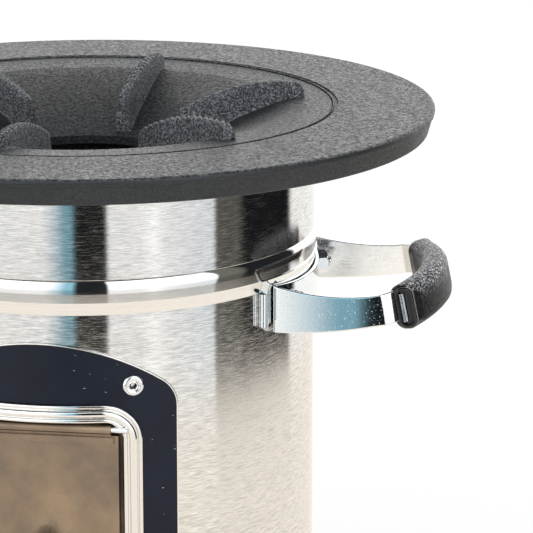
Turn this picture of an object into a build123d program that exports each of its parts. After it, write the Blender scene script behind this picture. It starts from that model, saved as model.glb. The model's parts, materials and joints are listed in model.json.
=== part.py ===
from build123d import *
import os
from math import asin, cos, degrees, radians, sin, sqrt

os.makedirs("parts", exist_ok=True)

# A wood-burning rocket stove. Origin on the floor under the middle of the drum.
# +Z is up, the fuel opening faces -Y, and the handles stand out along +X and -X.

# ---------------------------------------------------------------- driving dimensions (mm)
plate_top = 290.0          # top face of the cooktop rim above the floor
gap = 0.3                  # clearance between pieces that are slid together
seam = 0.05                # clearance between curved sheets that are riveted together
face_gap = 0.02            # clearance under a screw head, a rivet head and a nut
drum_r = 108.0             # outside radius of the lower drum

# cooktop rim, a flat cast ring with a down-turned edge
rim_r = 165.6
rim_edge = 11.8            # height of the down-turned edge
rim_draft = 3.2            # how far the edge leans in from top to bottom
rim_plate = 6.0
rim_edge_wall = 7.0
rim_round = 1.8
joint_out = 8.8            # circle where the rim meets the inner casting, beyond the drum
joint_gap = 0.5
rib_count = 12
rib_wall = 4.0
rib_depth = 4.0

# burner casting inside the rim
bowl_step = 0.7            # how far the inner casting lies below the rim
mouth_r = 97.0             # radius where the bell mouth starts to fall
mouth_drop = 1.2           # fall of the flat ring from its rim to the mouth
mouth_round = 9.0
throat_r = 42.0
throat_drop = 24.5         # fall from the flat ring to the throat
throat_lip = 4.0
bell_bulge = 2.4           # how far the bell mouth bows up between mouth and throat
collar_drop = 6.0          # collar that stands on the riser, below the throat
collar_wall = 5.5
bowl_wall = 5.0
ledge_width = 7.0          # ledge under the rim
ledge_wall = 4.5
spigot_drop = 4.5          # ring that centres the casting in the drum
spigot_wall = 4.5
boss_r = 5.0
boss_drop = 11.0

# pot fins on the casting
fin_count = 6
fin_angle = 52.5           # heading of the first fin, from the front towards +X
fin_offset = -3.6          # how far each fin's middle plane passes beside the axis
fin_inner = 45.0
fin_outer = 106.0
fin_crest_at = 90.0        # distance of the fin's highest point from the axis
fin_crest = 6.2            # highest point above the rim
fin_arc = 92.0             # radius of the fin's top edge
fin_end_r = 4.0
fin_top_wall = 4.0
fin_base_wall = 8.6
fin_foot_drop = 24.0       # lowest point of the inner end below the rim
fin_teeth = 14
fin_tooth = 0.8

# stainless drums
upper_out = 0.4            # how far the upper drum stands out of the lower one
sheet = 0.8
bead_drop = 74.7           # lower line of the rolled bead below the rim
bead_band = 5.8            # slanted band under the crease
bead_band_out = 1.2
bead_crease_in = 0.3
bead_top = 15.2            # shelf that the upper drum stands on
bead_out = 2.5             # how far the bead stands out of the lower drum
bead_shoulder = 0.8        # how far the rounded shoulder's top stands out
bead_lip = 8.0             # upright lip inside the upper drum

# base pan
pan_wall = 1.5
pan_side = 14.0
pan_skin = 1.2
pan_screws = 6
pan_screw_r = 2.0
pan_screw_head = 4.0

# combustion chamber
riser_r = 50.0
riser_wall = 2.0
gasket = 2.0
floor_wall = 3.5
stand_r = 61.0
stand_wall = 1.2
floor_z = 61.5             # top of the chamber floor
core_in = 5.0              # space between the insulation and the drum
core_top_drop = 40.0

# feed tunnel and fuel opening
tunnel_half = 36.5
tunnel_drop = 49.5         # top of the tunnel below the bead line
tunnel_wall = 1.5
tunnel_in = 6.5            # how far the tunnel ends short of the drum
tunnel_round = 8.0
sleeve_wall = 1.0
sleeve_in = 13.0           # how far the sleeve reaches into the drum

# fascia plate
fascia_half = 59.8
fascia_wall = 0.95
fascia_drop = 12.8         # top of the arch below the bead line
fascia_arch = 88.0
fascia_round = 16.0
fascia_bottom = 36.0
rivet_x = 41.5
rivet_drop = 32.7          # upper rivets below the bead line
rivet_low = 51.0
rivet_r = 2.4
rivet_head_r = 4.9
rivet_head = 1.7
rivet_bore = 1.4

# pressed frame round the opening
frame_band = 8.2
frame_round = 17.0
frame_flange = 1.1
frame_bead = 3.3
frame_bead_edge = 1.3
frame_bead_width = 3.6
frame_lip = 2.2
frame_lip_width = 1.8

# door flap and its pin
hinge_drop = 3.8           # pin below the top of the opening
pin_r = 1.4
pin_fit = 0.1
pin_half = 39.5
barrel_r = 2.2
barrel_half = 32.0
door_in = 3.5              # how far the pin lies inside the drum
door_wall = 1.5
door_side_gap = 1.5
door_bottom = 98.0
door_corner = 6.0
hem = 1.2
hem_height = 3.0
knob_r = 6.5
knob_stem_r = 2.0
knob_stem = 7.0
knob_up = 9.0

# fuel shelf
shelf_z = 92.0
shelf_wall = 1.5
shelf_gap = 0.5
shelf_back = 20.0
shelf_in = 3.0             # shelf's front edge inside the drum
shelf_tab = 12.0
shelf_tab_half = 13.0
runner_wide = 4.0
runner_high = 3.0
runner_back = 45.0
slot_count = 5
slot_pitch = 11.0
slot_long = 48.0
slot_wide = 4.0

# cooktop brackets
bracket_count = 4
bracket_wide = 14.0
bracket_wall = 2.0
bracket_long = 18.0
bracket_in = 11.5          # bracket screws inside the drum
bracket_back = 7.0
bracket_angle = 45.0
screw_r = 2.0
screw_head_r = 4.2
screw_head = 2.6
screw_depth = 8.0

# handles
strap_wall = 1.5
strap_angle = 28.2         # half angle between the two corners, seen from the axis
strap_corner = 2.6
strap_top = 2.2            # strap's upper edge at the drum, above the bead line
strap_bottom = -19.9
strap_neck_out = 20.0      # where the arm's upper edge lies lowest, beyond the drum
strap_neck_top = -2.3
strap_neck_bottom = -18.5
strap_end_out = 47.0
strap_end_top = 0.3
strap_end_bottom = -13.7
bow_start_out = 44.5       # where the bow starts, beyond the drum
bow_y = 48.0
bow_out = 60.0             # how far the bow stands out of the drum
bow_round = 10.0
plate_wall = 0.6
plate_angle = 31.5
plate_low = -15.5
plate_roll_r = 1.9
grip_start_out = 48.0
grip_start_y = 44.0
grip_wide = 12.6
grip_high = 21.0
grip_round = 5.4
grip_end_round = 2.0
grip_lean = 11.5
grip_z = -6.5
bolt_angle = 20.0
bolt_z = -8.9
bolt_r = 3.0
bolt_fit = 0.2
bolt_head_r = 7.0
bolt_head = 2.2
bolt_end = 2.4
washer_r = 6.2
washer_wall = 1.4
nut_flat = 10.0
nut_high = 5.0

# ---------------------------------------------------------------- derived sizes
bead_z = plate_top - bead_drop
joint_r = drum_r + joint_out
upper_r = drum_r + upper_out
core_r = drum_r - core_in
tunnel_top = bead_z - tunnel_drop
tunnel_front = drum_r - tunnel_in
sleeve_back = drum_r - sleeve_in
door_y = drum_r - door_in
shelf_front = drum_r - shelf_in
bracket_r = drum_r - bracket_in
bowl_top = plate_top - bowl_step
ledge_z = plate_top - rim_plate
ledge_low = ledge_z - ledge_wall
mouth_z = bowl_top - mouth_drop
throat_z = bowl_top - throat_drop
throat_low = throat_z - throat_lip - collar_drop
riser_top = throat_low - gasket
tunnel_low = floor_z
open_half = tunnel_half + gap
open_top = tunnel_top + gap
open_low = tunnel_low - gap
hinge_z = open_top - hinge_drop
fascia_r = drum_r + seam + fascia_wall
frame_r = fascia_r + face_gap
core_top = plate_top - core_top_drop
strap_r0 = drum_r + seam + plate_wall + bead_band_out * strap_top / bead_band + seam
strap_out_r = strap_r0 + strap_wall
bow_x = drum_r + bow_start_out
bow_tip = drum_r + bow_out
grip_start_x = drum_r + grip_start_out


# ---------------------------------------------------------------- helpers
def turned(points):
    """A ring turned about Z from an outline of (radius, height) points."""
    outline = Plane.XZ * make_face(Polyline(*points, close=True))
    return revolve(outline, Axis.Z)


def tube(r_out, r_in, low, high):
    ring = Circle(r_out) - Circle(r_in)
    return Pos(0, 0, low) * extrude(ring, high - low)


def disc(radius, low, high):
    return Pos(0, 0, low) * extrude(Circle(radius), high - low)


def radial_cylinder(radius, r_in, r_out, angle, z):
    """A cylinder whose axis is a radius of the drum, at an angle from +X."""
    body = Pos(r_in, 0, z) * (Rot(0, 90, 0) * extrude(Circle(radius), r_out - r_in))
    return Rot(0, 0, angle) * body


def front_plate(face, r_in, r_out):
    """A plate curved on the drum's front: a face in (x, z) bent to a cylinder."""
    block = extrude(Plane.XZ * face, r_out + 5)
    shell = tube(r_out, r_in, 0, plate_top)
    return block & shell


def opening_face(grow, round_r):
    """The fuel opening's outline in (x, z), grown outwards on every side."""
    wide = 2 * (open_half + grow)
    high = open_top - open_low + 2 * grow
    middle = (open_top + open_low) / 2
    return Pos(0, middle) * RectangleRounded(wide, high, round_r)


# ---------------------------------------------------------------- castings
def cooktop_rim():
    inner = joint_r + joint_gap / 2
    low = plate_top - rim_edge
    outline = make_face(
        Polyline(
            (inner, ledge_z),
            (inner, plate_top),
            (rim_r, plate_top),
            (rim_r - rim_draft, low),
            (rim_r - rim_draft - rim_edge_wall, low),
            (rim_r - rim_draft - rim_edge_wall - 1, ledge_z),
            close=True,
        )
    )
    edge_corners = outline.vertices().filter_by_position(Axis.X, rim_r - rim_draft - 0.1, rim_r + 0.1)
    outline = fillet(edge_corners, rim_round)
    rim = revolve(Plane.XZ * outline, Axis.Z)
    rib_in = joint_r + ledge_width + 2
    rib_out = rim_r - rim_draft - rim_edge_wall + 1
    rib = Box(rib_out - rib_in, rib_wall, rib_depth + 1, align=(Align.MIN, Align.CENTER, Align.MAX))
    for step in range(rib_count):
        rim += Rot(0, 0, (step + 0.5) * 360 / rib_count) * Pos(rib_in, 0, ledge_z + 1) * rib
    return rim


def bell_point(share, drop=0):
    """A point (radius, height) on the bell mouth, from throat (0) to mouth (1)."""
    r = throat_r + share * (mouth_r - throat_r)
    z = throat_z + share * (mouth_z - throat_z) + bell_bulge * 4 * share * (1 - share)
    return r, z - drop


def mouth_height(r):
    """Height of the casting's upper surface at a radius."""
    if r >= mouth_r:
        return mouth_z + mouth_drop * (r - mouth_r) / (joint_r - mouth_r)
    return bell_point((r - throat_r) / (mouth_r - throat_r))[1]


def crest_height(s):
    return plate_top + fin_crest - fin_arc + sqrt(fin_arc**2 - (s - fin_crest_at) ** 2)


def fin():
    """One toothed pot fin along +X, its foot sunk into the casting's wall."""
    start = fin_inner + 1.5
    end = fin_outer - fin_end_r
    pitch = (end - start) / fin_teeth
    top = []
    for step in range(fin_teeth):
        s = start + step * pitch
        top.append((s, crest_height(s)))
        top.append((s + pitch * 0.6, crest_height(s + pitch * 0.6)))
        top.append((s + pitch * 0.8, crest_height(s + pitch * 0.8) - fin_tooth))
    foot = []
    for step in range(8):
        s = fin_outer - (fin_outer - fin_inner) * step / 8
        foot.append((s, mouth_height(s) - bowl_wall / 2))
    inner = [(fin_inner, mouth_height(fin_inner) - bowl_wall / 2)]
    nose = crest_height(end)
    lines = Polyline(*top, (end, nose))
    lines += RadiusArc((end, nose), (fin_outer, nose - fin_end_r), fin_end_r)
    lines += Polyline((fin_outer, nose - fin_end_r), *foot, *inner, top[0])
    side = extrude(Plane.XZ * make_face(lines), fin_base_wall, both=True)
    high = plate_top + fin_crest + 1
    low = plate_top - fin_foot_drop - 12
    section = Plane.YZ * make_face(
        Polyline(
            (-fin_base_wall / 2, low),
            (fin_base_wall / 2, low),
            (fin_base_wall / 2, plate_top - fin_foot_drop),
            (fin_top_wall / 2, high),
            (-fin_top_wall / 2, high),
            (-fin_base_wall / 2, plate_top - fin_foot_drop),
            close=True,
        )
    )
    return Pos(0, fin_offset, 0) * (side & extrude(section, rim_r))


def burner_bowl():
    outer = joint_r - joint_gap / 2
    ledge_r = joint_r + ledge_width
    spigot_r = drum_r - sheet - gap
    spigot_z = ledge_low - spigot_drop
    collar_r = riser_r + collar_wall
    under = bell_point((collar_r - throat_r) / (mouth_r - throat_r), bowl_wall)
    lines = Polyline(bell_point(1), (outer, bowl_top), (outer, ledge_z), (ledge_r, ledge_z),
                     (ledge_r, ledge_low), (spigot_r, ledge_low), (spigot_r, spigot_z),
                     (spigot_r - spigot_wall, spigot_z), bell_point(1, bowl_wall))
    lines += ThreePointArc(bell_point(1, bowl_wall), bell_point(0.6, bowl_wall), under)
    lines += Polyline(under, (collar_r, throat_low), (riser_r, throat_low),
                      (riser_r, throat_z - throat_lip), (throat_r, throat_z - throat_lip), bell_point(0))
    lines += ThreePointArc(bell_point(0), bell_point(0.5), bell_point(1))
    section = make_face(lines)
    lip = section.vertices().sort_by_distance((*bell_point(1), 0))[0]
    section = fillet(lip, mouth_round)
    bowl = revolve(Plane.XZ * section, Axis.Z)
    boss_low = bowl_top - bowl_wall - boss_drop
    boss = disc(boss_r, boss_low, bowl_top - bowl_wall + 1)
    hole = disc(screw_r + pin_fit, boss_low, boss_low + screw_depth + 1)
    for step in range(bracket_count):
        place = Rot(0, 0, bracket_angle + step * 360 / bracket_count) * Pos(bracket_r, 0, 0)
        bowl += place * boss
        bowl -= place * hole
    return bowl


def pot_fins(bowl):
    """The fins that carry a pan, each cut to sit on the bell mouth."""
    fins = []
    for step in range(fin_count):
        place = Rot(0, 0, fin_angle - 90 + step * 360 / fin_count)
        fins.append(Pos(0, 0, face_gap) * (place * fin() - bowl))
    return fins


# ---------------------------------------------------------------- drums and base
def upper_drum():
    return tube(upper_r, upper_r - sheet, bead_z + bead_top, ledge_low)


def bead_lines(back):
    """The lower drum's side from the bead's lower line to its shelf, set back by a wall."""
    crease_r = drum_r + bead_band_out - bead_crease_in - back
    crease_z = bead_z + bead_band + 1
    shelf_r = drum_r + bead_shoulder - back
    shelf_z = bead_z + bead_top - back
    middle_z = (crease_z + shelf_z) / 2
    band = Polyline((drum_r - back, bead_z), (drum_r + bead_band_out - back, bead_z + bead_band),
                    (crease_r, crease_z))
    round_part = ThreePointArc((crease_r, crease_z), (drum_r + bead_out - back, middle_z),
                               (shelf_r, shelf_z))
    return band, round_part, (shelf_r, shelf_z)


def handle_angles():
    for side in (0, 180):
        for turn in (-bolt_angle, bolt_angle):
            yield side + turn


def lower_drum():
    band, shoulder, shelf = bead_lines(0)
    band_in, shoulder_in, shelf_in = bead_lines(sheet)
    lip_out = upper_r - sheet - seam
    lip_in = lip_out - sheet
    top = bead_z + bead_top + bead_lip
    lines = Polyline((drum_r - sheet, bead_z), (drum_r - sheet, pan_wall), (drum_r, pan_wall),
                     (drum_r, bead_z))
    lines += band + shoulder
    lines += Polyline(shelf, (lip_out, shelf[1]), (lip_out, top), (lip_in, top), (lip_in, shelf_in[1]),
                      shelf_in)
    lines += shoulder_in + band_in
    drum = revolve(Plane.XZ * make_face(lines), Axis.Z)
    drum -= extrude(Plane.XZ * opening_face(sleeve_wall + gap, tunnel_round + 1), 2 * drum_r)
    for x, z in rivet_places():
        drum -= rivet_cylinder(rivet_r + seam, drum_r - 5, drum_r + 5, x, z)
    for angle in handle_angles():
        drum -= radial_cylinder(bolt_r + bolt_fit, drum_r - 5, drum_r + 5, angle, bead_z + bolt_z)
    for angle in pan_screw_angles():
        drum -= radial_cylinder(pan_screw_r + pin_fit, drum_r - 5, drum_r + 5, angle, pan_side / 2)
    return drum


def pan_screw_angles():
    return [(step + 0.5) * 360 / pan_screws for step in range(pan_screws)]


def base_pan():
    r_in = drum_r + seam
    r_out = r_in + pan_skin
    pan = turned([(0, 0), (r_out, 0), (r_out, pan_side), (r_in, pan_side), (r_in, pan_wall), (0, pan_wall)])
    for angle in pan_screw_angles():
        pan -= radial_cylinder(pan_screw_r + pin_fit, drum_r - 5, drum_r + 9, angle, pan_side / 2)
    return pan


def base_screws():
    screws = []
    face = drum_r + seam + pan_skin + face_gap
    for angle in pan_screw_angles():
        screw = radial_cylinder(pan_screw_r, core_r + 1, face + 0.5, angle, pan_side / 2)
        head = radial_cylinder(pan_screw_head, face, face + pan_screw_r, angle, pan_side / 2)
        screws.append(screw + head)
    return screws


# ---------------------------------------------------------------- combustion chamber
def tunnel_block(half, low, high, round_r, front, back):
    """A rounded bar from the front towards the axis."""
    face = Pos(0, (low + high) / 2) * RectangleRounded(2 * half, high - low, round_r)
    return Pos(0, -back, 0) * extrude(Plane.XZ * face, front - back)


def riser_liner():
    liner = tube(riser_r + riser_wall, riser_r, floor_z, riser_top)
    cut = tunnel_block(tunnel_half + gap, floor_z - 1, tunnel_top + gap, tunnel_round, drum_r, 0)
    return liner - cut


def riser_gasket():
    return tube(riser_r + collar_wall, riser_r, riser_top, throat_low)


def feed_tunnel():
    outside = tunnel_block(tunnel_half, tunnel_low, tunnel_top, tunnel_round, tunnel_front, 0)
    inside = tunnel_block(tunnel_half - tunnel_wall, tunnel_low + tunnel_wall, tunnel_top - tunnel_wall,
                          tunnel_round - tunnel_wall, drum_r, 0)
    return outside - inside - disc(riser_r, 0, plate_top)


def chamber_floor():
    low = floor_z - floor_wall
    plate = disc(stand_r + 3, low, floor_z)
    apron = Pos(0, -stand_r, low) * Box(2 * tunnel_half, 2 * (sleeve_back - stand_r - 1), floor_wall,
                                        align=(Align.CENTER, Align.CENTER, Align.MIN))
    return plate + apron


def chamber_stand():
    return tube(stand_r, stand_r - stand_wall, pan_wall, floor_z - floor_wall)


def insulation_core():
    inner = riser_r + riser_wall + gap
    waist = stand_r + 3 + gap
    core = turned([(inner, floor_z + gap), (waist, floor_z + gap), (waist, pan_wall + gap),
                   (core_r, pan_wall + gap), (core_r, core_top), (inner, core_top)])
    cut = tunnel_block(tunnel_half + sleeve_wall + 2 * gap, floor_z - floor_wall - gap,
                       tunnel_top + sleeve_wall + 2 * gap, gap, drum_r, 0)
    return core - cut


# ---------------------------------------------------------------- fascia and frame
def rivet_places():
    for x in (-rivet_x, rivet_x):
        for z in (bead_z - rivet_drop, rivet_low):
            yield x, z


def rivet_cylinder(radius, r_in, r_out, x, z):
    return radial_cylinder(radius, r_in, r_out, degrees(asin(x / fascia_r)) - 90, z)


def fascia_plate():
    top = bead_z - fascia_drop
    shoulder = top - fascia_arch + sqrt(fascia_arch**2 - fascia_half**2)
    lines = ThreePointArc((-fascia_half, shoulder), (0, top), (fascia_half, shoulder))
    lines += Polyline((fascia_half, shoulder), (fascia_half, fascia_bottom), (-fascia_half, fascia_bottom),
                      (-fascia_half, shoulder))
    face = make_face(lines)
    face = fillet(face.vertices(), fascia_round)
    face -= opening_face(sleeve_wall + gap, tunnel_round + 1)
    plate = front_plate(face, drum_r + seam, fascia_r)
    for x, z in rivet_places():
        plate -= rivet_cylinder(rivet_r + seam, drum_r - 5, drum_r + 5, x, z)
    return plate


def fascia_rivets():
    rivets = []
    face = fascia_r + face_gap
    for x, z in rivet_places():
        shank = rivet_cylinder(rivet_r, drum_r - sheet - 3, face + 0.5, x, z)
        head = rivet_cylinder(rivet_head_r, face, face + rivet_head, x, z)
        rim = head.edges().filter_by(GeomType.CIRCLE).sort_by(SortBy.DISTANCE)[-1]
        head = fillet(rim, rivet_head * 0.6)
        hole = rivet_cylinder(rivet_bore, face + 0.4, face + rivet_head + 1, x, z)
        rivets.append(shank + head - hole)
    return rivets


def feed_frame():
    outer = opening_face(frame_band, frame_round)
    hole = opening_face(0, tunnel_round)
    edge = opening_face(frame_band - frame_bead_edge, frame_round - frame_bead_edge)
    edge_in = opening_face(frame_band - frame_bead_edge - frame_bead_width,
                           frame_round - frame_bead_edge - frame_bead_width)
    lip = opening_face(frame_lip_width, tunnel_round + frame_lip_width)
    frame = front_plate(outer - hole, frame_r, frame_r + frame_flange)
    frame += front_plate(edge - edge_in, frame_r + 0.5, frame_r + frame_bead)
    frame += front_plate(lip - hole, frame_r + 0.5, frame_r + frame_lip)
    sleeve = extrude(Plane.XZ * (opening_face(sleeve_wall, tunnel_round + sleeve_wall) - hole), fascia_r)
    sleeve &= Pos(0, -sleeve_back - drum_r / 2, 0) * Box(2 * drum_r, drum_r, plate_top,
                                                        align=(Align.CENTER, Align.CENTER, Align.MIN))
    sleeve &= disc(frame_r + 1, 0, plate_top)
    frame += sleeve
    return frame - pin_bar(pin_r + pin_fit / 2, pin_half + pin_fit)


# ---------------------------------------------------------------- door and shelf
def pin_bar(radius, half):
    bar = Rot(0, 90, 0) * extrude(Circle(radius), half, both=True)
    return Pos(0, -door_y, hinge_z) * bar


def door_hinge_pin():
    return pin_bar(pin_r, pin_half)


def feed_door():
    half = open_half - door_side_gap
    high = hinge_z - door_bottom
    face = Pos(0, hinge_z - high / 2) * Rectangle(2 * half, high)
    face = fillet(face.vertices().sort_by(Axis.Y)[:2], door_corner)
    front = door_y + door_wall / 2
    door = Pos(0, -front + door_wall, 0) * extrude(Plane.XZ * face, door_wall)
    fold = Pos(0, -front - hem / 2, hinge_z - barrel_r - 1 - hem_height / 2)
    door += fold * Box(2 * half - 4, hem + 0.2, hem_height)
    door += Pos(0, -front - hem / 2, door_bottom + hem_height / 2) * Box(2 * half - 2 * door_corner,
                                                                        hem + 0.2, hem_height)
    slot = Pos(0, -door_y, hinge_z) * Box(3 * half, 3 * door_wall + 2, 2 * barrel_r + 0.8)
    door -= slot - Pos(0, -door_y, hinge_z) * Box(2 * barrel_half, 9, 2 * barrel_r + 2)
    door += pin_bar(barrel_r, barrel_half)
    door -= pin_bar(pin_r + pin_fit, barrel_half + 5)
    door -= knob_rod(knob_stem_r + seam, door_y - 3, door_y + 3)
    return door


def knob_rod(radius, y_in, y_out):
    rod = Rot(90, 0, 0) * extrude(Circle(radius), y_out - y_in)
    return Pos(0, -y_in, door_bottom + knob_up) * rod


def door_knob():
    front = door_y + door_wall / 2 + hem + face_gap
    knob = knob_rod(knob_stem_r, door_y - door_wall / 2, front + knob_stem)
    knob += knob_rod(knob_stem_r + 1.4, front - hem, front + 1.0)
    ball = knob_rod(knob_r, front + knob_stem - 0.5, front + knob_stem + knob_r)
    rims = ball.edges().filter_by(GeomType.CIRCLE)
    ball = fillet(rims, knob_r * 0.4)
    return knob + ball


def fuel_shelf():
    half = tunnel_half - tunnel_wall - shelf_gap
    deep = shelf_front - shelf_back
    face = Pos(0, -(shelf_front + shelf_back) / 2) * Rectangle(2 * half, deep)
    tab = Pos(0, -shelf_front) * RectangleRounded(2 * shelf_tab_half, 2 * shelf_tab, 5)
    face += tab
    face -= Pos(0, -shelf_front - shelf_tab + 6.5) * Circle(3.2)
    for step in range(slot_count):
        x = (step - (slot_count - 1) / 2) * slot_pitch
        face -= Pos(x, -(shelf_back + deep * 0.45)) * (Rot(0, 0, 90) * SlotOverall(slot_long, slot_wide))
    return Pos(0, 0, shelf_z) * extrude(face, shelf_wall)


def shelf_runners():
    runners = []
    deep = tunnel_front - runner_back
    for side in (-1, 1):
        x = side * (tunnel_half - tunnel_wall - runner_wide / 2)
        y = -(tunnel_front + runner_back) / 2
        z = shelf_z - gap / 2 - runner_high / 2
        runners.append(Pos(x, y, z) * Box(runner_wide, deep, runner_high))
    return runners


# ---------------------------------------------------------------- cooktop fixing
def bracket_low():
    return bowl_top - bowl_wall - boss_drop


def cooktop_brackets():
    brackets = []
    top = bracket_low()
    wall_r = drum_r - sheet - 2 * gap
    for step in range(bracket_count):
        place = Rot(0, 0, bracket_angle + step * 360 / bracket_count)
        leg = Pos(bracket_r - bracket_back, 0, top - bracket_wall) * Box(drum_r, bracket_wide, bracket_wall,
                                                              align=(Align.MIN, Align.CENTER, Align.MIN))
        wall = Pos(wall_r - 3.5, 0, top - bracket_long) * Box(drum_r, bracket_wide, bracket_long,
                                                             align=(Align.MIN, Align.CENTER, Align.MIN))
        bracket = (leg + wall) & disc(upper_r - sheet - seam, 0, plate_top)
        bracket -= Pos(bracket_r, 0, 0) * disc(screw_r + gap, top - 5, top + 5)
        brackets.append(place * bracket)
    return brackets


def cooktop_screws():
    screws = []
    top = bracket_low()
    for step in range(bracket_count):
        place = Rot(0, 0, bracket_angle + step * 360 / bracket_count) * Pos(bracket_r, 0, 0)
        low = top - bracket_wall - face_gap
        shank = disc(screw_r, low - 1, top + screw_depth)
        head = disc(screw_head_r, low - screw_head, low)
        screws.append(place * (shank + head))
    return screws


# ---------------------------------------------------------------- handles, drawn along +X
def strap_side(far, grow):
    """The strap from the side, between its curved upper and lower edges."""
    near = drum_r / 2
    foot = strap_out_r * cos(radians(strap_angle))
    neck = drum_r + strap_neck_out
    end = drum_r + strap_end_out
    lines = ThreePointArc((foot, strap_top + grow), (neck, strap_neck_top + grow),
                          (end, strap_end_top + grow))
    lines += Polyline((end, strap_end_top + grow), (far, strap_end_top + grow),
                      (far, strap_end_bottom - grow), (end, strap_end_bottom - grow))
    lines += ThreePointArc((end, strap_end_bottom - grow), (neck, strap_neck_bottom - grow),
                           (foot, strap_bottom - grow))
    lines += Polyline((foot, strap_bottom - grow), (near, strap_bottom - grow), (near, strap_top + grow),
                      (foot, strap_top + grow))
    return Pos(0, 0, bead_z) * extrude(Plane.XZ * make_face(lines), drum_r, both=True)


def strap_band(grow):
    """The strap: base on the drum, two arms and the bow, grown on every side."""
    corner = (strap_r0 * cos(radians(strap_angle)), strap_r0 * sin(radians(strap_angle)))
    lines = Line((corner[0], -corner[1]), (bow_x, -bow_y))
    lines += ThreePointArc((bow_x, -bow_y), (bow_tip, 0), (bow_x, bow_y))
    lines += Line((bow_x, bow_y), corner)
    lines += ThreePointArc(corner, (strap_r0, 0), (corner[0], -corner[1]))
    face = make_face(lines)
    face = fillet(face.vertices().sort_by(Axis.X)[:2], strap_corner)
    bow_corners = face.vertices().filter_by_position(Axis.X, bow_x - gap, bow_x + gap)
    face = fillet(bow_corners, bow_round)
    outer = offset(face, grow) if grow else face
    band = outer - offset(face, -strap_wall - grow)
    low = bead_z + strap_bottom - 2 * strap_wall
    tall = Pos(0, 0, low) * extrude(band, strap_top - strap_bottom + 4 * strap_wall)
    return tall & strap_side(bow_tip + 2 * strap_wall, grow)


def handle_strap():
    strap = strap_band(0)
    for turn in (-bolt_angle, bolt_angle):
        strap -= radial_cylinder(bolt_r + bolt_fit, drum_r - 5, strap_out_r + 5, turn, bead_z + bolt_z)
    return strap


def handle_grip():
    path = ThreePointArc((grip_start_x, -grip_start_y), (bow_tip - strap_wall / 2, 0),
                         (grip_start_x, grip_start_y))
    start = Plane(origin=path @ 0, z_dir=path % 0, x_dir=(0, 0, 1))
    section = start * RectangleRounded(grip_high, grip_wide, grip_round)
    grip = sweep(section, path)
    ends = grip.faces().sort_by(Axis.X)[:2]
    grip = fillet(ends[0].edges() + ends[1].edges(), grip_end_round)
    centre = (bow_tip + grip_start_x) / 2
    grip = Pos(centre, 0, bead_z + grip_z) * (Rot(0, -grip_lean, 0) * (Pos(-centre, 0, 0) * grip))
    return grip - strap_band(gap / 2)


def backplate_sector(face, span):
    body = revolve(Plane.XZ * face, Axis.Z, span)
    return Rot(0, 0, -span / 2) * body


def handle_backplate():
    r0 = drum_r + seam
    top_z = bead_z + bead_band - 0.3
    top_r = r0 + bead_band_out * (bead_band - 0.3) / bead_band
    profile = make_face(
        Polyline(
            (r0, bead_z + plate_low),
            (r0, bead_z),
            (top_r, top_z),
            (top_r + plate_wall, top_z),
            (r0 + plate_wall, bead_z),
            (r0 + plate_wall, bead_z + plate_low),
            close=True,
        )
    )
    plate = backplate_sector(profile, 2 * plate_angle)
    roll_r = r0 + plate_roll_r
    for side in (-1, 1):
        roll = Pos(roll_r, 0, bead_z + plate_low) * extrude(Circle(plate_roll_r), -plate_low)
        plate += Rot(0, 0, side * plate_angle) * roll
    for turn in (-bolt_angle, bolt_angle):
        plate -= radial_cylinder(bolt_r + bolt_fit, drum_r - 5, strap_out_r + 5, turn, bead_z + bolt_z)
    return plate


def nut():
    hexagon = RegularPolygon(nut_flat / 2, 6, major_radius=False)
    hole = Circle(bolt_r + seam)
    return Rot(0, 90, 0) * extrude(hexagon - hole, nut_high)


def handle_bolts():
    bolts = []
    head_r = drum_r - sheet - face_gap
    end_r = strap_out_r + face_gap + washer_wall + nut_high + bolt_end
    for angle in handle_angles():
        bolt = radial_cylinder(bolt_r, head_r - 1, end_r, angle, bead_z + bolt_z)
        head = radial_cylinder(bolt_head_r, head_r - bolt_head, head_r, angle, bead_z + bolt_z)
        flat_cut = tube(2 * drum_r, head_r, 0, plate_top)
        bolts.append(bolt + (head - flat_cut))
    return bolts


def handle_washers():
    face = strap_out_r + face_gap
    washers = []
    for angle in handle_angles():
        washer = radial_cylinder(washer_r, face, face + washer_wall, angle, bead_z + bolt_z)
        washers.append(washer - radial_cylinder(bolt_r + seam, face - 1, face + 5, angle, bead_z + bolt_z))
    return washers


def handle_nuts():
    face = strap_out_r + face_gap + washer_wall
    nuts = []
    for angle in handle_angles():
        nuts.append(Rot(0, 0, angle) * Pos(face, 0, bead_z + bolt_z) * nut())
    return nuts


# ---------------------------------------------------------------- writing the nodes
def write(name, shape):
    if isinstance(shape, list):
        shape = Compound(children=shape)
    export_step(shape, "parts/" + name + ".step")


def write_pair(name, shape):
    """The same piece on the right and, turned half round, on the left."""
    write(name + "_right", shape)
    write(name + "_left", Rot(0, 0, 180) * shape)


write("cooktop_rim", cooktop_rim())
bowl_casting = burner_bowl()
write("burner_bowl", bowl_casting)
write("pot_fins", pot_fins(bowl_casting))
write("upper_drum", upper_drum())
write("lower_drum", lower_drum())
write("base_pan", base_pan())
write("base_screws", base_screws())
write("riser_liner", riser_liner())
write("riser_gasket", riser_gasket())
write("feed_tunnel", feed_tunnel())
write("chamber_floor", chamber_floor())
write("chamber_stand", chamber_stand())
write("insulation_core", insulation_core())
write("fascia_plate", fascia_plate())
write("fascia_rivets", fascia_rivets())
write("feed_frame", feed_frame())
write("door_hinge_pin", door_hinge_pin())
write("feed_door", feed_door())
write("door_knob", door_knob())
write("fuel_shelf", fuel_shelf())
write("shelf_runners", shelf_runners())
write("cooktop_brackets", cooktop_brackets())
write("cooktop_screws", cooktop_screws())
write_pair("handle_strap", handle_strap())
write_pair("handle_grip", handle_grip())
write_pair("handle_backplate", handle_backplate())
write("handle_bolts", handle_bolts())
write("handle_washers", handle_washers())
write("handle_nuts", handle_nuts())
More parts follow.
